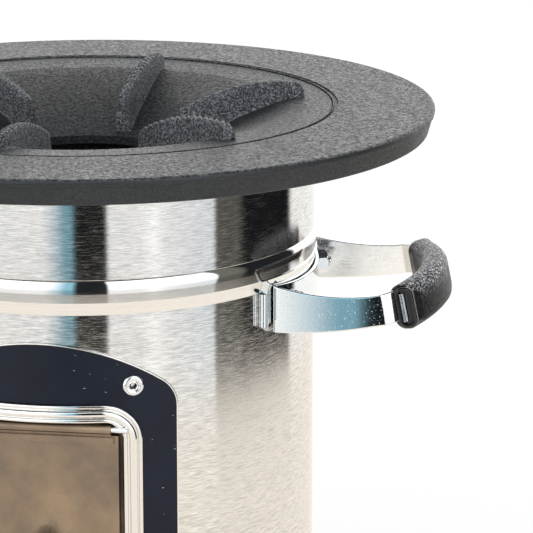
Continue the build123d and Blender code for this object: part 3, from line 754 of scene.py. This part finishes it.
rim_outline = rounded(from_point(JOINT_R, TOP, [
    (0.25, -PLATE, 0), (0.25, 0, 0.2), (0.8, 0, 0), (0.9, -GROOVE, 0), (2.6, -GROOVE, 0), (2.8, 0, 0.2),
]) + from_point(edge_top, TOP, [
    (0, 0, 1.8), on_edge(3.3, 0, 0.2), on_edge(3.7, -STEP, 0.15), on_edge(EDGE, -STEP, 1.0),
    (-DRAFT - 7.0, -EDGE, 1.0), (-DRAFT - 8.0, -PLATE, 1.5),
]))
cooktop_rim = turned_piece("rim_ring", rim_outline, cast_iron)
# the rim's side faces get the machined finish, whose darker tone is painted shade
paint_faces(cooktop_rim, edge_iron_painted_shade,
            lambda middle, facing: facing.z < 0.6 and middle.to_2d().length > JOINT_R + 20 * MM)


def rib_mesh(inner, outer, wall, low, high):
    """One upright rib along +X with softened edges."""
    form = bmesh.new()
    bmesh.ops.create_cube(form, size=1.0)
    for vert in form.verts:
        vert.co = Vector(((inner + outer) / 2 + vert.co.x * (outer - inner), vert.co.y * wall,
                          (low + high) / 2 + vert.co.z * (high - low)))
    bmesh.ops.bevel(form, geom=form.edges[:], offset=0.6 * MM, segments=2, affect="EDGES")
    return kept(form, "rib")


rib = rib_mesh(JOINT_R + 9 * MM, edge_top - (DRAFT + 6) * MM, 4 * MM, TOP - 10 * MM, TOP - 5.5 * MM)
rim_ribs = grow("rim_ribs", rib, ring, cast_iron, {"Count": 12, "First": 15.0})
for piece in (cooktop_rim, rim_ribs):
    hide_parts("cooktop_rim")
print("rim faces:", len(cooktop_rim.data.polygons), "ribs:", len(rim_ribs.data.polygons))

# %% [markdown]
# ### Pot fins
# Six thick fins stand on the bell mouth and carry the pan. Each crest has slanting
# teeth, the outer end is a blunt nose, and the foot flares into the casting. One fin is
# drawn as a row of cross-sections, and the ring tree places the six.

# %% Pot fins
FIN_IN, FIN_OUT, FIN_STATIONS = 45.0 * MM, 106.0 * MM, 150
FIN_OFFSET = -3.6 * MM
FIN_HALF, FIN_DRAFT = 2.1 * MM, 0.085
CREST_AT, CREST_ARC, CREST = 90.0 * MM, 92.0 * MM, 6.2 * MM
TOOTH, TEETH, TOOTH_SLANT = 0.9 * MM, 15, 0.8
# shares of a tooth's pitch: where its land starts and ends, and how long it falls
LAND_START, LAND_END, FALL = 0.15, 0.62, 0.16
NOSE, NOSE_DROP = 5.0 * MM, 4.5 * MM
MOUTH_R, THROAT_R, MOUTH_BULGE = 97.0 * MM, 42.0 * MM, 2.4 * MM
MOUTH_TOP, THROAT_TOP = TOP - 1.9 * MM, TOP - 25.2 * MM


def mouth_height(r):
    """Height of the casting's upper surface, as in the frame."""
    if r >= MOUTH_R:
        return MOUTH_TOP
    share = max(0.0, (r - THROAT_R) / (MOUTH_R - THROAT_R))
    return THROAT_TOP + share * (MOUTH_TOP - THROAT_TOP) + MOUTH_BULGE * 4 * share * (1 - share)


def crest_height(s):
    return TOP + CREST - CREST_ARC + sqrt(CREST_ARC ** 2 - (s - CREST_AT) ** 2)


def tooth_wave(s, across):
    """1 on a tooth's land and 0 in the gap, with the teeth slanting across the crest."""
    pitch = (FIN_OUT - NOSE - FIN_IN) / TEETH
    share = ((s - FIN_IN + TOOTH_SLANT * across) / pitch) % 1.0
    if share < LAND_START:
        return share / LAND_START
    return 1.0 if share < LAND_END else max(0.0, 1.0 - (share - LAND_END) / FALL)


def fin_section(s):
    """The fin's cross-section at a distance from the axis, as points for a loft."""
    past = max(0.0, s - (FIN_OUT - NOSE))
    taper = sqrt(max(0.0, 1 - (past / NOSE) ** 2))
    foot = mouth_height(s) - 1.5 * MM
    top = crest_height(s) - (1 - taper) * NOSE_DROP
    tall = max(top - foot, 1 * MM)
    half_top = FIN_HALF * (0.25 + 0.75 * taper)
    half_foot = (FIN_HALF + FIN_DRAFT * tall) * (0.25 + 0.75 * taper)
    side = [(half_foot + 1.5 * MM, foot), (half_foot + 0.35 * MM, foot + 1.7 * MM),
            (half_foot, foot + 3.0 * MM), ((half_foot + half_top) / 2 + 0.3 * MM, foot + 0.55 * tall),
            (half_top + 0.25 * MM, top - 1.6 * MM), (half_top, top - 0.9 * MM),
            (half_top * 0.82, top - 0.25 * MM), (half_top * 0.4, top), (0.0, top)]
    shaped = []
    for across, z in side + [(-across, z) for across, z in reversed(side[:-1])]:
        share = min(1.0, max(0.0, (z - (top - 1.3 * MM)) / (0.9 * MM)))
        sunk = TOOTH * share * taper * (1 - tooth_wave(s, across))
        shaped.append((s, FIN_OFFSET + across, z - sunk))
    return shaped


fin_length = FIN_OUT - 0.02 * MM - FIN_IN
fin = lofted("fin", [fin_section(FIN_IN + fin_length * share) for share in shares(FIN_STATIONS)])
fins = grow("pan_fins", fin, ring, fin_iron_painted_light, {"Count": 6, "First": 52.5 - 90.0}, 50)
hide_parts("pot_fins")
print("fins:", len(fins.data.polygons), "faces")

# %% [markdown]
# ### Drums
# Two thin stainless sheets, rolled into drums. The lower one ends in a rolled bead: a
# slanting band, a tight crease and a rounded shoulder that carries the upper drum. Turned
# from a fine outline, the bead catches the light without facets.

# %% Upper drum
UPPER_R = DRUM_R + 0.4 * MM
SHELF_Z = BEAD_Z + 16.2 * MM
UPPER_LOW, UPPER_TOP = SHELF_Z + 0.02 * MM, TOP - 10.5 * MM
upper_outline = [(UPPER_R, UPPER_LOW), (UPPER_R, UPPER_TOP),
                 (UPPER_R - SHEET, UPPER_TOP), (UPPER_R - SHEET, UPPER_LOW)]
upper_drum = turned_piece("upper_drum_sheet", upper_outline, brushed_steel)
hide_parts("upper_drum")
print("upper drum faces:", len(upper_drum.data.polygons))

# %% Lower drum
OPEN_HALF = 36.8 * MM
OPEN_TOP = BEAD_Z - 49.2 * MM
OPEN_LOW = 61.2 * MM
CUT_PAST = 3 * MM


def bead_side(back):
    """The drum's side from the floor to the shelf, set back by a wall."""
    side, bend_z = DRUM_R - back, BEAD_Z + 9.9 * MM
    corners = [(side, 1.5 * MM, 0)]
    corners += from_point(side, BEAD_Z, [(0, 0, 0.25), (1.2, 5.8, 0.5), (1.41, 9.9, 0.5)])
    for share in shares(18)[1:]:
        out_by = (1.41 + 0.05 * share - 1.5 * share ** 3) * MM
        corners.append((side + out_by, bend_z + (SHELF_Z - back - bend_z) * share, 0))
    return corners


lip_r = UPPER_R - SHEET - 0.05 * MM
lower_outline = rounded(bead_side(0) + [
    (lip_r, SHELF_Z, 0), (lip_r, SHELF_Z + 8 * MM, 0), (lip_r - SHEET, SHELF_Z + 8 * MM, 0),
    (lip_r - SHEET, SHELF_Z - SHEET, 0)] + bead_side(SHEET)[::-1])
lower_drum = turned_piece("lower_drum_sheet", lower_outline, brushed_steel)


def cut_opening(piece):
    """Takes away the sheet behind the pressed frame, so the fuel opening is open."""
    half, low, high = OPEN_HALF + CUT_PAST, OPEN_LOW - CUT_PAST, OPEN_TOP + CUT_PAST
    form = opened(piece.data)
    for place, across in (((0, 0, low), (0, 0, 1)), ((0, 0, high), (0, 0, 1)),
                          ((-half, 0, 0), (1, 0, 0)), ((half, 0, 0), (1, 0, 0))):
        bmesh.ops.bisect_plane(form, geom=whole(form), dist=1e-7, plane_co=place, plane_no=across)
    gone = []
    for face in form.faces:
        middle = face.calc_center_median()
        if middle.y < 0 and abs(middle.x) < half and low < middle.z < high:
            gone.append(face)
    bmesh.ops.delete(form, geom=gone, context="FACES")
    bmesh.ops.bridge_loops(form, edges=[edge for edge in form.edges if len(edge.link_faces) == 1])
    bmesh.ops.recalc_face_normals(form, faces=form.faces)
    form.to_mesh(piece.data)
    form.free()
    shaded(piece.data)
    return len(gone)


print("faces cut for the opening:", cut_opening(lower_drum))
paint_faces(lower_drum, rolled_steel, lambda middle, facing: middle.z > BEAD_Z)
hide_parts("lower_drum")

# %% [markdown]
# ### Pressed frame and fascia edge
# The frame round the opening is one pressing with nested round beads. Each bead is a
# rounded bar that follows the opening's outline and is bent on the drum. The fascia's
# sheared edge is left bare, so a thin bright line runs round the paint.

# %% Frame beads
FASCIA_R = DRUM_R + 1.0 * MM
FRAME_R = FASCIA_R + 0.02 * MM


def opening_outline(grow_by, corner, steps):
    """The opening's outline grown on every side, with rounded corners."""
    return rounded_box(OPEN_HALF + grow_by, OPEN_LOW - grow_by, OPEN_TOP + grow_by, corner, steps)


def bent_bar(name, outline, width, thick, soft, radius):
    """A bar of polished steel along an outline, bent on the drum; its section is in mm."""
    sizes = {"Width": width * MM, "Thick": thick * MM, "Corner": soft * MM, "Radius": radius}
    return grow(name, outline_curve(name + "_path", outline), bent_trim, polished_steel, sizes, 40)


# name, how far outside the opening, corner, width, thickness and rounding, all in mm
FRAME_BEADS = [
    ("frame_flange", 4.1, 12.9, 8.2, 2.2, 0.5), ("frame_outer_roll", 7.3, 16.1, 1.8, 3.6, 0.85),
    ("frame_main_bead", 4.3, 13.1, 3.3, 6.4, 1.6), ("frame_inner_lip", 1.0, 9.0, 1.9, 4.6, 0.9),
]
for name, out_by, corner, width, thick, soft in FRAME_BEADS:
    piece = bent_bar(name, opening_outline(out_by * MM, corner * MM, 14), width, thick, soft, FRAME_R)
    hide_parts("feed_frame")
print("frame beads:", len(FRAME_BEADS))

# %% Frame sleeve
SLEEVE_DEEP, SLEEVE_WALL, SLEEVE_CORNER = 13.0 * MM, 1.0 * MM, 8.0 * MM


def sleeve_mesh():
    """The sheet-metal sleeve that leads from the frame into the tunnel."""
    rings = []
    for out_by, at_frame in ((0.0, True), (0.0, False), (SLEEVE_WALL, False), (SLEEVE_WALL, True)):
        rings.append([(x, -sqrt(FRAME_R ** 2 - x ** 2) if at_frame else SLEEVE_DEEP - DRUM_R, z)
                      for x, z in opening_outline(out_by, SLEEVE_CORNER + out_by, 8)])
    return lofted("frame_sleeve", rings, polished_steel, "joined")


frame_sleeve = turned_to_mesh("frame_sleeve", sleeve_mesh())
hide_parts("feed_frame")
print("sleeve faces:", len(frame_sleeve.data.polygons))

# %% Fascia edge
FASCIA_HALF = 59.8 * MM
ARCH_TOP = BEAD_Z - 12.8 * MM
ARCH_R, ARCH_ROUND, FASCIA_LOW = 88.0 * MM, 16.0 * MM, 36.0 * MM


def fascia_outline(inset):
    """The fascia's outline: a wide arch, two rounded shoulders and a rounded foot."""
    centre_z = ARCH_TOP - ARCH_R
    x = FASCIA_HALF - ARCH_ROUND
    high = centre_z + sqrt((ARCH_R - ARCH_ROUND) ** 2 - x ** 2)
    low = FASCIA_LOW + ARCH_ROUND
    turn = degrees(atan2(high - centre_z, x))
    points = arc((0, centre_z), ARCH_R - inset, 180 - turn, turn, 24)
    for centre, start, stop in (((x, high), turn, 0), ((x, low), 0, -90), ((-x, low), -90, -180),
                                ((-x, high), 180, 180 - turn)):
        points += arc(centre, ARCH_ROUND - inset, start, stop)
    return points


fascia_edge = bent_bar("fascia_bare_edge", fascia_outline(0.3 * MM), 0.75, 0.9, 0.3, FASCIA_R - 0.38 * MM)
print("fascia edge faces:", len(fascia_edge.data.polygons))

# %% [markdown]
# ### Rivets, nuts, washers and screws
# Small bright hardware is turned or bevelled once, lying along +X as if it stood out of
# the drum, and the trees put the copies in place.

# %% Hardware helpers
def turned_along_x(name, outline, x, z, sides=40, flat=None):
    """A mesh turned about X from (along, radius) points in mm; flat gives it six flats."""
    rings = []
    for along, radius in outline:
        spots = []
        for k in range(sides if radius else 1):
            angle = 2 * pi * k / sides
            within = (angle + pi / 6) % (pi / 3) - pi / 6
            reach = min(flat / cos(within), radius) * MM if flat else radius * MM
            spots.append((x + along * MM, reach * cos(angle), z + reach * sin(angle)))
        rings.append(spots)
    return lofted(name, rings, ends="open")


print("hardware helper ready")

# %% Rivets
RIVET_X = 41.5 * MM
RIVET_HIGH = BEAD_Z - 32.7 * MM
RIVET_LOW = 51.0 * MM
RIVET_BORE = 1.45 * MM
rivet_outline = [(-4.2, 0), (-4.2, 2.4), (0.02, 2.4), (0.02, 4.9), (0.45, 4.9), (0.85, 4.75), (1.25, 4.35),
                 (1.5, 3.8), (1.56, 3.3), (1.5, 2.9), (1.28, 2.6), (1.22, 2.3), (1.4, 2.05), (1.62, 1.85),
                 (1.66, 1.7), (1.5, 1.45), (-1.0, 1.35), (-1.2, 0)]
rivets = grow("fascia_rivet_heads", turned_along_x("rivet", rivet_outline, FASCIA_R, RIVET_LOW), pairs,
              bright_rivet, {"Pairs": 2, "Heading": -90.0, "Rise": RIVET_HIGH - RIVET_LOW,
                             "Half angle": degrees(asin(RIVET_X / FASCIA_R))}, 45)
# the faces inside each rivet's bore get the satin black: painted shade in the hole
paint_faces(rivets, satin_black_and_bore_shade, lambda middle, facing: hypot(
    abs(middle.x) - RIVET_X, min(abs(middle.z - RIVET_LOW), abs(middle.z - RIVET_HIGH))) < RIVET_BORE)
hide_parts("fascia_rivets")
print("rivets:", len(rivets.data.polygons))

# %% Handle hardware
BOLT_HALF_ANGLE, BOLT_Z = 20.0, BEAD_Z - 8.9 * MM
STRAP_R = DRUM_R + 1.155 * MM
STRAP_WALL = 1.5 * MM
WASHER_FACE = STRAP_R + STRAP_WALL + 0.02 * MM
NUT_FACE = WASHER_FACE + 1.4 * MM
BOLT_END = NUT_FACE + 7.4 * MM

washer_outline = [(0, 3.05), (0, 6.0), (0.25, 6.2), (1.05, 6.2), (1.3, 6.0), (1.4, 5.7), (1.4, 3.05),
                  (0, 3.05)]
NUT_FLAT = 5.0
nut_outline = [(0, 5.15), (0.45, 5.8), (4.55, 5.8), (5.0, 5.15), (5.0, 3.05), (0, 3.05), (0, 5.15)]
long = (BOLT_END - DRUM_R) / MM
thread = [(long - 7.0 + 0.25 * step, 3.0 if step % 2 else 2.72) for step in range(25)]
bolt_outline = [(-3.0, 0), (-3.0, 5.4), (-2.6, 6.6), (-1.3, 7.0), (-0.85, 6.9), (-0.85, 3.0),
                (long - 7.3, 3.0), *thread, (long - 0.5, 2.7), (long, 2.1), (long, 0)]
washer = turned_along_x("washer", washer_outline, WASHER_FACE, BOLT_Z)
nut = turned_along_x("nut", nut_outline, NUT_FACE, BOLT_Z, 36, NUT_FLAT)
bolt = turned_along_x("bolt", bolt_outline, DRUM_R, BOLT_Z, 32)
for name, mesh, sharp in (("washers", washer, 32), ("nuts", nut, 20), ("bolts", bolt, 32)):
    piece = grow("strap_" + name, mesh, pairs, zinc_hardware,
                 {"Pairs": 2, "Half angle": BOLT_HALF_ANGLE, "Turn": 180.0}, sharp)
    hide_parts("handle_" + name)
    print(name, "faces:", len(piece.data.polygons))

# %% Base screws
screw_outline = [(-6.0, 0), (-6.0, 2.0), (1.27, 2.0), (1.27, 4.0), (1.9, 3.95), (2.7, 3.4), (3.2, 2.4),
                 (3.25, 1.6), (2.3, 1.3), (2.2, 0)]
screws = grow("base_screw_heads", turned_along_x("screw", screw_outline, DRUM_R, 7.0 * MM, 24), ring,
              zinc_hardware, {"Count": 6, "First": 30.0})
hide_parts("base_screws")
print("screws:", len(screws.data.polygons))

# %% [markdown]
# ### Handle strap
# A zinc-plated strip, bent into a bow. It is drawn as a path seen from above, with soft
# bends and arms that bow outwards a little, and a narrow section with rounded edges is
# carried along it. The slight bow in the arms matters: it is what makes the reflection
# run from white through blue-green to black. Just before the grip each arm has a crook,
# and from there on the strap leans with the grip.

# %% Handle strap
STRAP_ANGLE = 28.2
BOW_X, BOW_Y, BOW_TIP = DRUM_R + 44.5 * MM, 48.0 * MM, DRUM_R + 60.0 * MM
ARM_BULGE = 1.2 * MM
CROOK_X, CROOK_Y = DRUM_R + 41.2 * MM, 42.5 * MM
STRAP_LEAN, LEAN_Z, LEAN_FROM, LEAN_RUN = 0.2, BEAD_Z - 8 * MM, CROOK_X - 6 * MM, 5 * MM
STRAP_SOFT = 0.4 * MM
BEND_REACHES = (5.0 * MM, 5.0 * MM, 3.4 * MM, 3.4 * MM)
# where an edge's height is given: at the strap's foot, its neck and its end
FOOT_X = (STRAP_R + STRAP_WALL) * cos(radians(STRAP_ANGLE))
STRAP_PLACES = (FOOT_X, DRUM_R + 20 * MM, DRUM_R + 47 * MM)
STRAP_TOPS, STRAP_LOWS = (2.2, -2.3, 0.3), (-19.9, -18.5, -13.7)


def circle_through(half, rise):
    """Radius of the circle with a chord and a rise."""
    return (half ** 2 + rise ** 2) / (2 * rise)


def arc_run(centre_x, radius, start, steps):
    """Points on an arc about the X axis, from an angle in degrees to its mirror image."""
    return [Vector(point) for point in arc((centre_x, 0), radius, start, -start, steps)]


def strap_corners():
    """The strap's outer line from above: arm, bow, arm and base, sharp at the bends."""
    bow_r = circle_through(BOW_Y, BOW_TIP - BOW_X)
    base = arc_run(0, STRAP_R, -STRAP_ANGLE, 30)
    bow = arc_run(BOW_TIP - bow_r, bow_r, degrees(asin(CROOK_Y / bow_r)), 60)
    foot, mouth = base[-1], bow[0]
    along = Vector((BOW_X, BOW_Y)) - foot
    side = Vector((-along.y, along.x)).normalized()
    arm = []
    for share in shares(40):
        point = foot + along * share + side * ARM_BULGE * 4 * share * (1 - share)
        if point.x < CROOK_X:
            arm.append(point)
    crook = arm[-1]
    arm += [crook + (mouth - crook) * share for share in shares(8)[1:]]
    return [arm, bow, [Vector((point.x, -point.y)) for point in reversed(arm)], base]


def strap_line():
    """The strap's outer line in one run, with a soft bend at each corner."""
    runs = strap_corners()
    corners = [run[-1] for run in runs]
    for index, (corner, reach) in enumerate(zip(corners, BEND_REACHES)):
        for near in (index, (index + 1) % 4):
            runs[near] = [point for point in runs[near] if (point - corner).length > reach]
    line = []
    for index, (corner, reach) in enumerate(zip(corners, BEND_REACHES)):
        start, stop = [corner + (point - corner).normalized() * reach
                       for point in (runs[index][-1], runs[(index + 1) % 4][0])]
        line += runs[index]
        line += [start * (1 - t) ** 2 + corner * 2 * t * (1 - t) + stop * t ** 2 for t in shares(12)]
    return line


def strap_edge(x, heights):
    """Height of an edge: a parabola through its heights in mm at the three places."""
    x = min(max(x, STRAP_PLACES[0]), STRAP_PLACES[-1])
    value = 0.0
    for here, height in zip(STRAP_PLACES, heights):
        for other in STRAP_PLACES:
            if other != here:
                height *= (x - other) / (here - other)
        value += height
    return BEAD_Z + value * MM


def strap_section(low, top):
    """The strap's section as (depth, height): a softened corner, mirrored four ways."""
    corner = [(a * STRAP_SOFT, b * STRAP_SOFT) for a, b in ((0, 2), (0, 1), (0.3, 0.3), (1, 0))]
    section = []
    for height, way in ((top, -1), (low, 1)):
        edge = [(a, height + way * b) for a, b in corner]
        edge += [(STRAP_WALL - a, z) for a, z in reversed(edge)]
        section += edge if way < 0 else edge[::-1]
    return section


def strap_mesh(name, finish):
    line = strap_line()
    rings = []
    for index, point in enumerate(line):
        ahead = (line[(index + 1) % len(line)] - line[index - 1]).normalized()
        inward = Vector((ahead.y, -ahead.x))
        ring_points = []
        for depth, z in strap_section(strap_edge(point.x, STRAP_LOWS), strap_edge(point.x, STRAP_TOPS)):
            x, y = point + inward * depth
            leaning = STRAP_LEAN * min(max((x - LEAN_FROM) / LEAN_RUN, 0), 1)
            ring_points.append((x - leaning * (z - LEAN_Z), y, z))
        rings.append(ring_points)
    return lofted(name, rings, finish, "joined")


def place_pair(name, mesh, node, sharp=32):
    """A piece of the right handle, and the same turned half round for the left handle."""
    other = mesh.copy()
    for vert in other.vertices:
        vert.co.x, vert.co.y = -vert.co.x, -vert.co.y
    right = turned_to_mesh(name + "_right", mesh, sharp)
    left = turned_to_mesh(name + "_left", other, sharp)
    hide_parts(node + "_right")
    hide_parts(node + "_left")
    return right, left


straps = place_pair("bow_strap", strap_mesh("bow_strap", strap_zinc), "handle_strap", 60)
for strap in straps:
    paint_faces(strap, inner_zinc, lambda middle, facing: facing.y * middle.y < 0 and abs(facing.y) > 0.5)
print("strap faces:", len(straps[0].data.polygons))

# %% [markdown]
# ### Grips
# Each grip is moulded on the bow. Its section is a rounded bar that follows the bow and
# leans outwards, with a fine parting line along the lower edge. Each end is hollowed
# where the strap goes in: a thin frame stands round the mouth, leaning with the strap,
# and the strap's folded end shows inside it as a bright bar, its zinc toned darker than
# the strap's as painted shade.

# %% Grips
GRIP_X, GRIP_Y = DRUM_R + 48.0 * MM, 44.0 * MM
GRIP_TIP = BOW_TIP - STRAP_WALL / 2
GRIP_WIDE, GRIP_HIGH, GRIP_ROUND = 12.6 * MM, 21.0 * MM, 5.4 * MM
GRIP_LEAN, GRIP_Z = radians(11.5), -6.5 * MM
GRIP_R = circle_through(GRIP_Y, GRIP_TIP - GRIP_X)
GRIP_HALF = asin(GRIP_Y / GRIP_R) * GRIP_R
# distance from the end and inset of the section, in mm
GRIP_END = [(2.6, 3.1), (2.5, 2.9), (0.35, 2.45), (0.08, 2.3), (0.0, 2.1), (0.0, 1.3), (0.12, 0.85),
            (0.45, 0.4), (0.9, 0.12), (1.5, 0.02), (2.2, 0.0)]
PARTING = 6  # the section's point on the parting line


def grip_section(inset):
    """The grip's section (across, up), shrunk by an inset; at full size with its parting line."""
    wide, high = GRIP_WIDE / 2 - inset, GRIP_HIGH / 2 - inset
    points = rounded_box(wide, -high, high, max(GRIP_ROUND - inset, 0.8 * MM), 9)
    if inset == 0.0:
        x, z = points[PARTING]
        points[PARTING] = (x * 1.035, z * 1.02)
    return points


def tilted(x, z, lean):
    """A point turned about the origin by an angle."""
    return x * cos(lean) - z * sin(lean), x * sin(lean) + z * cos(lean)


def grip_point(along, across, up):
    """A point on the leaning bow: along it from its middle, across it and upwards."""
    angle = along / GRIP_R
    middle = (BOW_TIP + GRIP_X) / 2
    x, z = tilted(GRIP_TIP - GRIP_R + (GRIP_R + across) * cos(angle) - middle, up, GRIP_LEAN)
    return middle + x, (GRIP_R + across) * sin(angle), BEAD_Z + GRIP_Z + z


def grip_mesh(name, finish):
    stations = [(depth * MM - GRIP_HALF, inset * MM) for depth, inset in GRIP_END]
    start = stations[-1][0]
    stations += [(start - 2 * start * share, 0.0) for share in shares(60)[1:-1]]
    stations += [(-along, inset) for along, inset in reversed(stations[:len(GRIP_END)])]
    rings = [[grip_point(along, across, up) for across, up in grip_section(inset)]
             for along, inset in stations]
    return lofted(name, rings, finish)


grips = place_pair("moulded_grip", grip_mesh("moulded_grip", grip_grain), "handle_grip", 40)
for grip in grips:
    paint_faces(grip, grip_smooth, lambda middle, facing: abs(facing.y) > 0.42)
print("grip faces:", len(grips[0].data.polygons))

# %% Grip mouths
MOUTH_X, MOUTH_FRONT, MOUTH_Z = DRUM_R + 49.7 * MM, 47.6 * MM, -7.0 * MM
MOUTH_TURN, MOUTH_LEAN = radians(13), radians(12)
MOUTH_WIDE, MOUTH_HIGH, MOUTH_ROUND = 9.4, 19.8, 4.0  # mm
# inset from the frame's outline and depth behind its front, in mm
MOUTH_LIP = [(0.5, 3.2), (0.25, 1.5), (0.3, 0.7), (0.6, 0.22), (1.0, 0.0), (1.3, 0.0), (1.65, 0.2),
             (1.9, 0.7), (2.0, 1.4), (2.05, 2.5)]
TAB_HALF, TAB_BACK = 6.6, 2.6  # mm


def mouth_point(across, up, depth):
    """A point on the leaning frame round the grip's mouth, in mm, depth counted inwards."""
    side, z = tilted(across * MM, up * MM, MOUTH_LEAN)
    x = MOUTH_X + side * cos(MOUTH_TURN) + depth * MM * sin(MOUTH_TURN)
    y = -MOUTH_FRONT - side * sin(MOUTH_TURN) + depth * MM * cos(MOUTH_TURN)
    return x, y, BEAD_Z + MOUTH_Z + z


def mouth_mesh(name, finish):
    rings = []
    for inset, depth in MOUTH_LIP:
        wide, high = MOUTH_WIDE / 2 - inset, MOUTH_HIGH / 2 - inset
        outline = rounded_box(wide, -high, high, max(MOUTH_ROUND - inset, 1.2), 8)
        rings.append([mouth_point(across, up, depth) for across, up in outline])
    return lofted(name, rings, finish)


def tab_mesh(name, finish):
    """The strap's folded end, a slightly bowed plate that shows in the grip's mouth."""
    rings = []
    for share in shares(8):
        across, depth = -2.5 + 2.1 * share, 0.9 + 1.6 * (share - 0.3) ** 2
        rings.append([mouth_point(across, up, at) for up, at in (
            (-TAB_HALF, depth), (TAB_HALF, depth), (TAB_HALF, TAB_BACK), (-TAB_HALF, TAB_BACK))])
    return lofted(name, rings, finish)


def both_ends(mesh):
    """Adds the same piece at the other end of the bow."""
    form = opened(mesh)
    copied = bmesh.ops.duplicate(form, geom=whole(form))
    for item in copied["geom"]:
        if isinstance(item, bmesh.types.BMVert):
            item.co.y = -item.co.y
    form.to_mesh(mesh)
    form.free()
    return mesh


mouths = place_pair("grip_mouth", both_ends(mouth_mesh("grip_mouth", grip_smooth)), "handle_grip", 30)
tabs = place_pair("strap_end_tab", both_ends(tab_mesh("strap_end_tab", tab_zinc_painted_shade)), "handle_strap", 40)
print("mouth faces:", len(mouths[0].data.polygons), "tab faces:", len(tabs[0].data.polygons))
